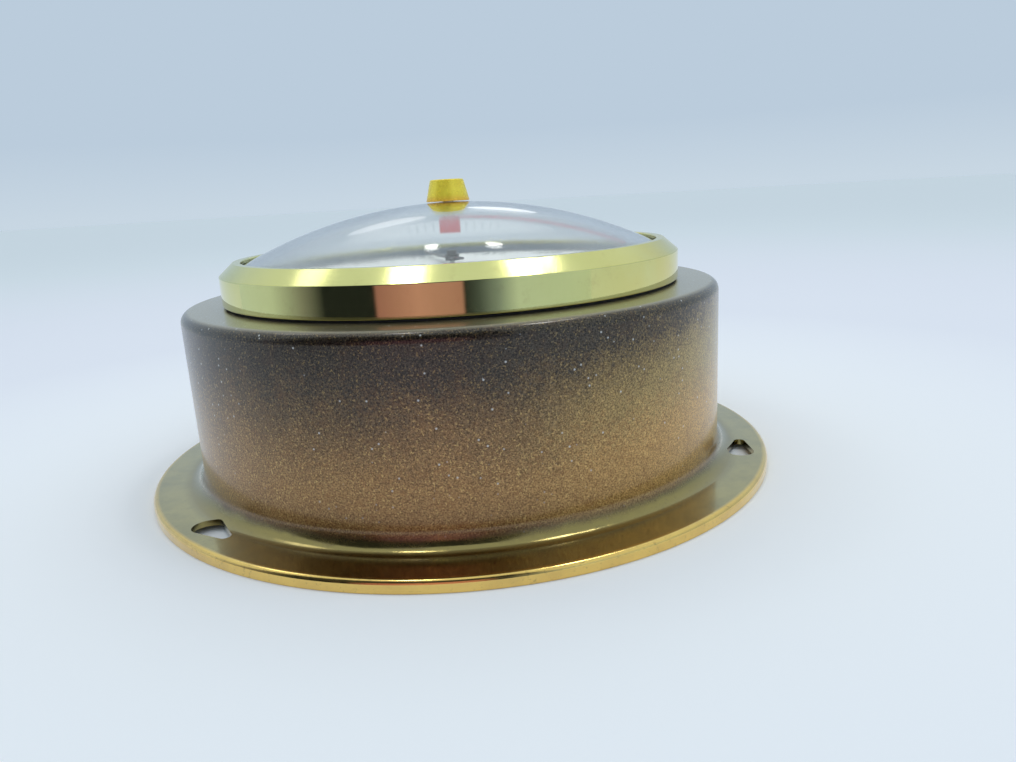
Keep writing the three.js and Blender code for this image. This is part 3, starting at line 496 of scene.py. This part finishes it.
def turned_metal(name, light, dark, smooth, rough):
    """Metal from a lathe: fine rings, cloudy handling marks and small scratches."""
    material, nodes, shader = new_material(name)
    clouds = nodes.noise(90.0, detail=6)
    handled = tuple(a * 0.93 + b * 0.07 for a, b in zip(light, dark))
    tone = nodes.blend(nodes.ramp(clouds, 0.35, 0.7), light, handled)
    stains = nodes.patches(260.0, 8, 0.52, 0.75, roughness=0.7)
    tone = nodes.blend(nodes.times(stains, 0.35), tone, dark)
    nodes.link(tone, shader.inputs["Base Color"])
    scuffs = nodes.times(nodes.patches(700.0, 8, 0.5, 0.8, roughness=0.75), rough * 0.6)
    worn = nodes.math("ADD", nodes.ramp(clouds, 0.3, 0.75, smooth, rough), scuffs)
    nodes.link(worn, shader.inputs["Roughness"])
    nodes.link(nodes.bump(nodes.lathe_rings(LATHE_SCALE), 0.04, LATHE_RELIEF), shader.inputs["Normal"])
    shader.inputs["Metallic"].default_value = 1.0
    return material


def bezel_tone(nodes, side):
    """Pale lemon brass, a little warmer to one side, with faint brown stains."""
    clouds = nodes.noise(110.0, detail=6)
    pale = nodes.blend(nodes.ramp(clouds, 0.3, 0.7), (0.77, 0.74, 0.31), (0.72, 0.70, 0.28))
    amber = nodes.times(nodes.across(side, AMBER_SIDE), nodes.ramp(clouds, 0.2, 0.6))
    tone = nodes.blend(nodes.times(amber, 0.8), pale, (0.86, 0.68, 0.17))
    stains = nodes.patches(300.0, 9, 0.56, 0.74, roughness=0.75)
    return nodes.blend(nodes.times(stains, 0.3), tone, (0.45, 0.33, 0.14))


def bezel_brass():
    """Polished brass from a lathe, softer on the chamfer than on the side."""
    material, nodes, shader = new_material("polished_brass")
    parts = nodes.add("ShaderNodeSeparateXYZ", Vector=nodes.place())
    nodes.link(bezel_tone(nodes, parts.outputs[0]), shader.inputs["Base Color"])
    rings = nodes.lathe_rings(LATHE_SCALE, detail=3, roughness=0.7)
    scuffs = nodes.patches(900.0, 8, 0.5, 0.8, 0.0, 0.06, roughness=0.75)
    worn = nodes.math("ADD", nodes.ramp(rings, 0.35, 0.75, 0.02, 0.07), scuffs)
    chamfer = nodes.across(parts.outputs[2], CHAMFER_HEIGHTS, 0.0, 0.12)
    nodes.link(nodes.math("ADD", worn, chamfer), shader.inputs["Roughness"])
    nodes.link(nodes.bump(rings, 0.06, LATHE_RELIEF), shader.inputs["Normal"])
    shader.inputs["Metallic"].default_value = 1.0
    return material


def knob_gold():
    """Saturated yellow gold of the small set knob, bright even where it faces the dark."""
    material, nodes, shader = new_material("golden_knob_brass")
    height = nodes.add("ShaderNodeSeparateXYZ", Vector=nodes.place()).outputs[2]
    clouds = nodes.patches(500.0, 6, 0.35, 0.7)
    yellow = nodes.blend(clouds, (1.0, 0.80, 0.07), (0.94, 0.70, 0.05))
    foot = nodes.times(nodes.across(height, KNOB_FOOT_HEIGHTS), 0.8)
    nodes.link(nodes.blend(foot, yellow, (0.95, 0.50, 0.05)), shader.inputs["Base Color"])
    nodes.link(nodes.patches(900.0, 6, 0.35, 0.7, 0.22, 0.34), shader.inputs["Roughness"])
    nodes.link(nodes.bump(nodes.lathe_rings(LATHE_SCALE), 0.06, LATHE_RELIEF), shader.inputs["Normal"])
    shader.inputs["Metallic"].default_value = 0.2
    return material


def flange_gold(nodes, radius):
    """Olive brass on the flat of the flange, darker in the fillet and a warmer gold on the rim."""
    clouds = nodes.patches(200.0, 6, 0.4, 0.7)
    olive = nodes.blend(clouds, (0.45, 0.37, 0.13), (0.34, 0.29, 0.11))
    fillet = nodes.times(nodes.across(radius, FILLET_RADII), 0.8)
    olive = nodes.blend(fillet, olive, (0.26, 0.20, 0.055))
    gold = nodes.blend(clouds, (0.88, 0.60, 0.16), (0.76, 0.50, 0.14))
    tone = nodes.blend(nodes.across(radius, RIM_RADII), olive, gold)
    spots = nodes.patches(1500.0, 6, 0.58, 0.72, roughness=0.7)
    return nodes.blend(nodes.times(spots, 0.6), tone, (0.13, 0.10, 0.05))


def patina_rise(nodes, side, height):
    """The height that the patina's painted dark reflection goes by: it wanders, and it lags where the painted
    golden reflection climbs towards one side.
    """
    clouds = nodes.wander(120.0, 8, 0.25, 0.75, DARK_EDGE_WANDER, roughness=0.65)
    speckle = nodes.wander(2600.0, 4, 0.3, 0.7, SPECKLE_WANDER, roughness=0.7)
    rise = nodes.math("ADD", height, nodes.math("ADD", clouds, speckle))
    return nodes.math("SUBTRACT", rise, nodes.across(side, GOLD_CLIMB_SIDE, 0.0, GOLD_CLIMB * MM))


def bronze_colour(nodes, side, height, sandy):
    """Golden brown below and almost black above, with a sandy grain and an olive band on one side. The patina
    is bronze; its almost black top, its brighter gold towards one side and the olive band are painted
    reflection.
    """
    rise = patina_rise(nodes, side, height)
    # Painted reflection: almost black above, the dim side of the room mirrored in the drum, over its dark
    # bronze patina.
    upper = nodes.across(rise, DARK_PATINA_AND_PAINTED_REFLECTION_HEIGHTS)
    # Painted reflection: a brighter gold towards one side, where the drum mirrors bright light.
    golden = nodes.across(side, GOLD_SIDE)
    warm = nodes.blend(sandy, (0.17, 0.086, 0.030), (0.50, 0.29, 0.11))
    bright = nodes.blend(sandy, (0.30, 0.155, 0.040), (0.80, 0.50, 0.16))
    dark_patina_and_painted_reflection = nodes.blend(sandy, (0.012, 0.009, 0.007), (0.095, 0.077, 0.055))
    patina = nodes.blend(upper, nodes.blend(golden, warm, bright), dark_patina_and_painted_reflection)
    # Painted reflection: an olive band along the edge of the dark top, on the gold side.
    band = nodes.times(nodes.across(rise, OLIVE_BAND_BOTTOM), nodes.across(rise, OLIVE_BAND_TOP))
    olive = nodes.blend(sandy, (0.22, 0.17, 0.05), (0.62, 0.49, 0.18))
    patina = nodes.blend(nodes.times(nodes.times(band, golden), 0.7), patina, olive)
    patina = rust_and_flecks(nodes, patina, upper)
    # Painted shade: the drum darkens towards its foot, in the crease above the flange.
    foot = nodes.times(nodes.across(height, FOOT_SHADE_HEIGHTS), 0.8)
    return nodes.blend(foot, patina, (0.085, 0.062, 0.028))


def rust_and_flecks(nodes, patina, upper):
    """Rusty clouds and small golden flecks over the patina, both fainter above, where they follow the painted
    dark reflection.
    """
    rust = nodes.patches(420.0, 7, 0.50, 0.68, roughness=0.7)
    rusty = nodes.blend(upper, (0.28, 0.125, 0.040), (0.085, 0.045, 0.025))
    patina = nodes.blend(nodes.times(rust, 0.4), patina, rusty)
    flecks = nodes.patches(3200.0, 2, 0.60, 0.66, roughness=0.5)
    share = nodes.ramp(upper, 1.0, 0.2, 0.22, 0.6)
    return nodes.blend(nodes.times(flecks, share), patina, (0.78, 0.54, 0.20))


def shelf_painted_reflection(nodes, patina, height, radius):
    """Painted reflection: the drum's flat top is painted paler than its side, for the pale reflection it
    shows.
    """
    shelf = nodes.times(nodes.across(height, SHELF_HEIGHTS), nodes.across(radius, SHELF_RADII))
    return nodes.blend(nodes.times(shelf, 0.85), patina, (0.42, 0.37, 0.25))


def case_metal():
    """One spun and lacquered sheet: a dark bronzed drum that turns to olive brass at the flange."""
    material, nodes, shader = new_material("bronzed_and_polished_brass")
    parts = nodes.add("ShaderNodeSeparateXYZ", Vector=nodes.place())
    height = parts.outputs[2]
    radius = nodes.radius(parts)
    wobble = nodes.wander(160.0, 5, 0.3, 0.7, BRONZE_WANDER)
    bronzed = nodes.across(nodes.math("ADD", height, wobble), BRONZE_HEIGHTS)
    grain = nodes.noise(4200.0, detail=3, roughness=0.6)
    sandy = nodes.ramp(grain, 0.38, 0.62)
    patina = bronze_colour(nodes, parts.outputs[0], height, sandy)
    patina = shelf_painted_reflection(nodes, patina, height, radius)
    metal = nodes.blend(bronzed, flange_gold(nodes, radius), patina)
    dust = nodes.times(nodes.specks(900.0, share=0.22, size=0.18), nodes.across(height, DUST_HEIGHTS))
    nodes.link(nodes.blend(nodes.times(dust, 0.8), metal, (0.62, 0.62, 0.61)), shader.inputs["Base Color"])
    nodes.link(nodes.ramp(dust, 0.0, 1.0, 1.0, 0.0), shader.inputs["Metallic"])
    rough = nodes.add("ShaderNodeMix", Factor=bronzed)
    nodes.feed(rough.inputs[2], nodes.patches(500.0, 6, 0.35, 0.75, 0.10, 0.24))
    nodes.feed(rough.inputs[3], nodes.ramp(sandy, 0.0, 1.0, 0.34, 0.48))
    nodes.link(rough.outputs[0], shader.inputs["Roughness"])
    shader.inputs["Coat Weight"].default_value = 0.7
    shader.inputs["Coat Roughness"].default_value = 0.14
    coarse = nodes.bump(nodes.times(grain, bronzed), 0.4, GRAIN_RELIEF)
    nodes.link(nodes.bump(nodes.lathe_rings(SPUN_SCALE), 0.05, LATHE_RELIEF, coarse), shader.inputs["Normal"])
    return material


def clear_acrylic():
    """Clear lens plastic with faint smears. Lamps reach the dial through it."""
    material, nodes, shader = new_material("clear_acrylic")
    output = next(node for node in nodes.tree.nodes if node.type == "OUTPUT_MATERIAL")
    smears = nodes.noise(60.0, detail=6)
    tint = nodes.blend(smears, (0.985, 1.0, 0.995), (1.0, 1.0, 1.0))
    nodes.link(tint, shader.inputs["Base Color"])
    nodes.link(nodes.ramp(smears, 0.35, 0.7, 0.03, 0.065), shader.inputs["Roughness"])
    shader.inputs["Transmission Weight"].default_value = 1.0
    shader.inputs["IOR"].default_value = 1.49
    opening = nodes.add("ShaderNodeBsdfTransparent", Color=(0.96, 0.98, 0.98))
    lamp_ray = nodes.add("ShaderNodeLightPath").outputs["Is Shadow Ray"]
    mixed = nodes.add("ShaderNodeMixShader", Fac=lamp_ray)
    nodes.link(shader.outputs[0], mixed.inputs[1])
    nodes.link(opening.outputs[0], mixed.inputs[2])
    nodes.link(mixed.outputs[0], output.inputs["Surface"])
    return material


def painted(name, light, dark, roughness):
    """Paint or moulded plastic with a fine grain and faint wear."""
    material, nodes, shader = new_material(name)
    grain = nodes.noise(900.0, detail=5)
    nodes.link(nodes.blend(nodes.patches(70.0, 5, 0.35, 0.7), light, dark), shader.inputs["Base Color"])
    nodes.link(nodes.ramp(grain, 0.3, 0.7, roughness * 0.85, roughness * 1.15), shader.inputs["Roughness"])
    nodes.link(nodes.bump(grain, 0.05, PAINT_RELIEF), shader.inputs["Normal"])
    return material


# ---------------------------------------------------------------- mesh helpers


def arc(centre_r, centre_z, radius, start, end, steps=ARC_STEPS):
    """Points (r, z) of an arc, its angles in radians from the radius axis."""
    points = []
    for step in range(steps + 1):
        angle = start + (end - start) * step / steps
        points.append((centre_r + radius * math.cos(angle), centre_z + radius * math.sin(angle)))
    return points


def rounded(corners):
    """A closed outline from corners (r, z, rounding), each rounded off by an arc."""
    points = []
    for index, (r, z, rounding) in enumerate(corners):
        here = Vector((r, z))
        before = (Vector(corners[index - 1][:2]) - here).normalized()
        after = (Vector(corners[(index + 1) % len(corners)][:2]) - here).normalized()
        if rounding == 0:
            points.append((r, z))
            continue
        half = before.angle(after) / 2
        centre = here + (before + after).normalized() * rounding / math.sin(half)
        start = here + before * rounding / math.tan(half) - centre
        end = here + after * rounding / math.tan(half) - centre
        sweep = math.atan2(start.x * end.y - start.y * end.x, start.dot(end))
        first = math.atan2(start.y, start.x)
        points += arc(centre.x, centre.y, rounding, first, first + sweep)
    return points


def mesh_object(name, surface, material):
    """A smooth-shaded object from a bmesh whose faces are turned outwards."""
    bmesh.ops.recalc_face_normals(surface, faces=surface.faces)
    mesh = plain_mesh(name, surface)
    mesh.shade_smooth()
    mesh.set_sharp_from_angle(angle=SHARP_ANGLE)
    if material is not None:
        mesh.materials.append(material)
    return add_object(name, mesh)


def ring_of_points(surface, r, z, sides):
    """A level ring of points round the upright axis, or one point on it."""
    count = 1 if r < ON_AXIS else sides
    angles = [TURN * side / sides for side in range(count)]
    return [surface.verts.new(Vector((r * math.cos(angle), r * math.sin(angle), z)) * MM) for angle in angles]


def turned(name, profile, material, sides=SIDES):
    """Turns a closed profile of (r, z) millimetres about the upright axis."""
    surface = bmesh.new()
    rings = [ring_of_points(surface, r, z, sides) for r, z in profile]
    for index, ring in enumerate(rings):
        following = rings[(index + 1) % len(rings)]
        if len(ring) == 1 and len(following) == 1:
            continue
        for side in range(sides):
            corners = [ring[side % len(ring)], ring[(side + 1) % len(ring)]]
            corners += [following[(side + 1) % len(following)], following[side % len(following)]]
            surface.faces.new(list(dict.fromkeys(corners)))
    piece = mesh_object(name, surface, material)
    even_normals(piece)
    return piece


def even_normals(piece):
    """Lets the broad faces set the shading, so that a small rounding doesn't bend their reflections."""
    even = piece.modifiers.new("even_normals", "WEIGHTED_NORMAL")
    even.keep_sharp = True


def wall_round(surface, low, high):
    """The faces between two closed rows of as many points."""
    for index in range(len(low)):
        following = (index + 1) % len(low)
        surface.faces.new((low[index], low[following], high[following], high[index]))


def prism(name, outline, bottom, top):
    """An upright prism over a closed outline of (x, y) millimetres, with no material."""
    surface = bmesh.new()
    low = [surface.verts.new((x * MM, y * MM, bottom * MM)) for x, y in outline]
    high = [surface.verts.new((x * MM, y * MM, top * MM)) for x, y in outline]
    surface.faces.new(low)
    surface.faces.new(high)
    wall_round(surface, low, high)
    return mesh_object(name, surface, None)


def evaluated_mesh(piece):
    """A new mesh of a piece as its modifiers or its text leave it."""
    bpy.context.view_layer.update()
    return bpy.data.meshes.new_from_object(piece.evaluated_get(bpy.context.evaluated_depsgraph_get()))


def cut_away(body, cutters):
    """Cuts the cutters out of a body for good, and removes them."""
    for cutter in cutters:
        change = body.modifiers.new("cut", "BOOLEAN")
        change.operation = "DIFFERENCE"
        change.solver = "EXACT"
        change.object = cutter
    cut_mesh = evaluated_mesh(body)
    body.modifiers.clear()
    cut_mesh.shade_smooth()
    cut_mesh.set_sharp_from_angle(angle=SHARP_ANGLE)
    body.data = cut_mesh
    even_normals(body)
    for cutter in cutters:
        bpy.data.objects.remove(cutter)


def polar(radius, bearing):
    """The (x, y) at a radius and a bearing in degrees."""
    return Vector((radius * math.cos(math.radians(bearing)), radius * math.sin(math.radians(bearing))))


def finish_piece(piece, body, slot, *nodes):
    """Says what a piece rides on and the CAD nodes it stands for, if any. The slot is not used."""
    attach(piece, body)
    if nodes:
        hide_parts(*nodes)
    return piece


# ---------------------------------------------------------------- pieces


def keyhole_outline(bearing):
    """A round entry that narrows to a small tip further round the flange."""
    entry = polar(HOLE_CIRCLE_R, bearing)
    run = polar(HOLE_CIRCLE_R, bearing + KEY_SLOT_TURN) - entry
    lean = math.acos((KEYHOLE_R - KEY_TIP_R) / run.length)
    points = arc(0, 0, KEYHOLE_R, lean, TURN - lean, ARC_STEPS * 4)
    points += arc(run.length, 0, KEY_TIP_R, -lean, lean, ARC_STEPS * 2)
    turn = Matrix.Rotation(math.atan2(run.y, run.x), 2)
    return [tuple(entry + turn @ Vector(point)) for point in points]


def make_case(material):
    corners = [
        (FLANGE_R, FLANGE_BOTTOM, EDGE),
        (FLANGE_R, FLANGE_TOP, FLANGE_EDGE),
        (DRUM_R, FLANGE_TOP, FOOT_FILLET),
        (DRUM_R, DRUM_TOP, SHOULDER_FILLET),
        (MOUTH_R, DRUM_TOP, EDGE),
        (MOUTH_R, DRUM_TOP - SHEET, EDGE),
        (DRUM_R - SHEET, DRUM_TOP - SHEET, SHOULDER_FILLET - SHEET),
        (DRUM_R - SHEET, FLANGE_TOP - SHEET, FOOT_FILLET + SHEET),
        (FLANGE_R - HEM_WIDTH, FLANGE_TOP - SHEET, EDGE),
        (FLANGE_R - HEM_WIDTH, FLANGE_BOTTOM, EDGE),
    ]
    case = turned("gauge_case", rounded(corners), material)
    top = FLANGE_TOP + FOOT_FILLET
    cutters = [prism("keyhole", keyhole_outline(bearing), -top, top) for bearing in KEYHOLE_BEARINGS]
    cut_away(case, cutters)
    return finish_piece(case, "case", "patinated_bronze", "case_shell")


def make_bezel(material):
    corners = [
        (BEZEL_R, BEZEL_BOTTOM, BEZEL_EDGE),
        (BEZEL_R, BEZEL_SIDE_TOP, BEZEL_EDGE),
        (BEZEL_TOP_R, BEZEL_TOP, BEZEL_EDGE),
        (BEZEL_BORE_R, BEZEL_TOP, BEZEL_EDGE),
        (BEZEL_BORE_R, BEZEL_LIP, 0),
        (BEZEL_SKIRT_R, BEZEL_LIP, 0),
        (BEZEL_SKIRT_R, BEZEL_BOTTOM, EDGE),
    ]
    return finish_piece(turned("gauge_bezel", rounded(corners), material), "case", "polished_brass", "bezel")


def make_lens(material):
    inner_ball = LENS_BALL_R - LENS_WALL
    skirt = LENS_BASE_R - LENS_WALL
    outer_angles = (math.acos(LENS_HOLE_R / LENS_BALL_R), math.acos(LENS_BASE_R / LENS_BALL_R))
    inner_angles = (math.acos(skirt / inner_ball), math.acos(LENS_HOLE_R / inner_ball))
    profile = arc(0, LENS_BALL_Z, LENS_BALL_R, *outer_angles, steps=ARC_STEPS * 8)
    profile += [(LENS_BASE_R, LENS_RIM_TOP), (LENS_RIM_R, LENS_RIM_TOP), (LENS_RIM_R, LENS_RIM_BOTTOM)]
    profile += [(skirt, LENS_RIM_BOTTOM)]
    profile += arc(0, LENS_BALL_Z, inner_ball, *inner_angles, steps=ARC_STEPS * 8)
    return finish_piece(turned("gauge_lens", profile, material), "case", "clear_lens", "dome_lens")


def make_knob(material):
    corners = [
        (0, KNOB_TOP, 0),
        (KNOB_TOP_R, KNOB_TOP, KNOB_EDGE),
        (KNOB_BOTTOM_R, KNOB_BOTTOM, KNOB_EDGE / 2),
        (STEM_BORE_R, KNOB_BOTTOM, 0),
        (STEM_BORE_R, STEM_TOP + STEM_END_GAP, 0),
        (0, STEM_TOP + STEM_END_GAP, 0),
    ]
    knob = turned("knob", rounded(corners), material, SMALL_SIDES * 2)
    return finish_piece(knob, "set_pointer", "polished_brass", "set_knob")


def make_hub(material):
    corners = [
        (0, HUB_BOTTOM, 0),
        (HUB_R, HUB_BOTTOM, EDGE),
        (HUB_R, HUB_TOP, EDGE),
        (STEM_BORE_R, HUB_TOP, 0),
        (STEM_BORE_R, HUB_BOTTOM + HUB_FLOOR, 0),
        (0, HUB_BOTTOM + HUB_FLOOR, 0),
    ]
    hub = turned("hub", rounded(corners), material, SMALL_SIDES)
    return finish_piece(hub, "set_pointer", "red_enamel", "set_hub")


def make_set_hand_eye(material, top):
    corners = [
        (STEM_BORE_R, top - SET_HAND_THICK, SET_HAND_EYE_EDGE),
        (SET_HAND_EYE_R, top - SET_HAND_THICK, SET_HAND_EYE_EDGE),
        (SET_HAND_EYE_R, top, SET_HAND_EYE_EDGE),
        (STEM_BORE_R, top, SET_HAND_EYE_EDGE),
    ]
    eye = turned("set_hand_eye", rounded(corners), material, SMALL_SIDES)
    return finish_piece(eye, "set_pointer", "red_enamel")


def set_hand_section(surface, share, top):
    """Four points of the strip, a share of the way to its tip, on an arc that falls to the tip's height."""
    fall = top - SET_HAND_TIP_Z
    ball = (SET_HAND_REACH**2 + fall**2) / (2 * fall)
    reach = SET_HAND_START + (SET_HAND_REACH - SET_HAND_START) * share
    height = top - ball + math.sqrt(ball**2 - reach**2)
    half = (SET_HAND_ROOT_WIDTH + (SET_HAND_TIP_WIDTH - SET_HAND_ROOT_WIDTH) * share) / 2
    ring = [(half, 0), (-half, 0), (-half, -SET_HAND_THICK), (half, -SET_HAND_THICK)]
    turn = Matrix.Rotation(math.radians(SET_HAND_BEARING), 3, "Z")
    return [surface.verts.new(turn @ Vector((reach, y, height + z)) * MM) for y, z in ring]


def make_set_hand(material):
    """A tapered strip that bends down from an eye on the hub, close under the lens."""
    top = HUB_TOP + SET_HAND_GAP + SET_HAND_THICK
    surface = bmesh.new()
    steps = ARC_STEPS * 5
    sections = [set_hand_section(surface, step / steps, top) for step in range(steps + 1)]
    for near, far in zip(sections, sections[1:]):
        wall_round(surface, near, far)
    surface.faces.new(sections[0])
    surface.faces.new(sections[-1])
    strip = mesh_object("set_hand_strip", surface, material)
    make_set_hand_eye(material, top)
    return finish_piece(strip, "set_pointer", "red_enamel", "set_hand")


def make_reveal(material):
    corners = [
        (REVEAL_R - REVEAL_WALL, REVEAL_BOTTOM, 0),
        (REVEAL_R, REVEAL_BOTTOM, 0),
        (REVEAL_R, REVEAL_TOP, EDGE),
        (REVEAL_R - REVEAL_WALL, REVEAL_TOP, EDGE),
    ]
    ring = turned("dial_surround", rounded(corners), material)
    return finish_piece(ring, "case", "dark_ring", "reveal_ring")


def make_dial(material):
    corners = [
        (DIAL_HOLE_R, DIAL_BOTTOM, 0),
        (DIAL_R, DIAL_BOTTOM, DIAL_EDGE),
        (DIAL_R, DIAL_TOP, DIAL_EDGE),
        (DIAL_HOLE_R, DIAL_TOP, DIAL_EDGE),
    ]
    return finish_piece(turned("dial_plate", rounded(corners), material), "case", "white_dial", "dial")


def add_line(surface, bearing, length, width):
    """One line of the scale, a thin raised strip that points at the centre."""
    along = polar(1, bearing)
    across = Vector((-along.y, along.x)) * width / 2
    ends = (along * (SCALE_R - length), along * SCALE_R)
    outline = [ends[0] - across, ends[1] - across, ends[1] + across, ends[0] + across]
    low, high = [
        [surface.verts.new(Vector((corner.x, corner.y, z)) * MM) for corner in outline]
        for z in (DIAL_TOP, DIAL_TOP + PRINT_DEPTH)
    ]
    surface.faces.new(high)
    wall_round(surface, low, high)


def add_number(surface, text, bearing):
    """A number of the scale, its foot towards the centre."""
    curve = bpy.data.curves.new("number", "FONT")
    curve.body = text
    curve.size = NUMBER_SIZE * MM
    curve.extrude = PRINT_DEPTH * MM / 2
    curve.align_x = "CENTER"
    curve.align_y = "CENTER"
    writing = add_object("number", curve)
    mesh = evaluated_mesh(writing)
    spot = polar(NUMBER_R, bearing)
    lift = Matrix.Translation(Vector((spot.x, spot.y, DIAL_TOP + PRINT_DEPTH / 2)) * MM)
    mesh.transform(lift @ Matrix.Rotation(math.radians(bearing - 90), 4, "Z"))
    surface.from_mesh(mesh)
    bpy.data.objects.remove(writing)


def make_scale(material):
    """The printed lines and numbers of the dial, as one thin raised mesh."""
    surface = bmesh.new()
    for step in range(SCALE_DIVISIONS + 1):
        bearing = SCALE_START - SCALE_SWEEP * step / SCALE_DIVISIONS
        numbered = step % SCALE_NUMBER_EVERY == 0
        halfway = step % (SCALE_NUMBER_EVERY // 2) == 0
        length = LONG_LINE if numbered else MIDDLE_LINE if halfway else SHORT_LINE
        add_line(surface, bearing, length, BOLD_LINE_WIDTH if numbered else LINE_WIDTH)
        if numbered:
            add_number(surface, str(SCALE_FIRST + step), bearing)
    return finish_piece(mesh_object("dial_scale", surface, material), "case", "black_enamel")


def paint_frame_nodes(finishes):
    """Gives every CAD node that still shows the material of its record slot."""
    slots = {part["node"]: part["material_slot"] for part in frame["record"]["subparts"]}
    for node, piece in frame["nodes"].items():
        if slots[node] in finishes:
            piece.data.materials.clear()
            piece.data.materials.append(finishes[slots[node]])


# ---------------------------------------------------------------- the whole

make_camera()
make_world()
for lamp in LAMPS:
    make_lamp(*lamp)
make_floor()
make_screen()

finishes = {
    "polished_brass": bezel_brass(),
    "patinated_bronze": case_metal(),
    "clear_lens": clear_acrylic(),
    "white_dial": painted("white_dial", (0.86, 0.86, 0.84), (0.82, 0.82, 0.79), 0.45),
    "dark_ring": painted("blue_black_ring", (0.09, 0.125, 0.17), (0.11, 0.145, 0.19), 0.5),
    "black_rubber": painted("black_rubber", (0.012, 0.012, 0.012), (0.02, 0.02, 0.022), 0.8),
    "red_enamel": painted("red_enamel", (0.70, 0.02, 0.05), (0.60, 0.015, 0.04), 0.35),
    "black_enamel": painted("black_enamel", (0.012, 0.012, 0.014), (0.02, 0.02, 0.022), 0.35),
    "steel": turned_metal("turned_steel", (0.56, 0.57, 0.58), (0.3, 0.29, 0.28), 0.2, 0.35),
    "nickel": turned_metal("satin_nickel", (0.68, 0.66, 0.6), (0.4, 0.38, 0.33), 0.2, 0.35),
    "tinplate": turned_metal("tinplate", (0.62, 0.62, 0.6), (0.38, 0.38, 0.36), 0.25, 0.4),
}

make_case(finishes["patinated_bronze"])
make_bezel(finishes["polished_brass"])
make_lens(finishes["clear_lens"])
make_reveal(finishes["dark_ring"])
make_dial(finishes["white_dial"])
make_scale(finishes["black_enamel"])
make_knob(knob_gold())
make_hub(finishes["red_enamel"])
make_set_hand(finishes["red_enamel"])
paint_frame_nodes(finishes)

bpy.context.scene.view_settings.view_transform = "Standard"
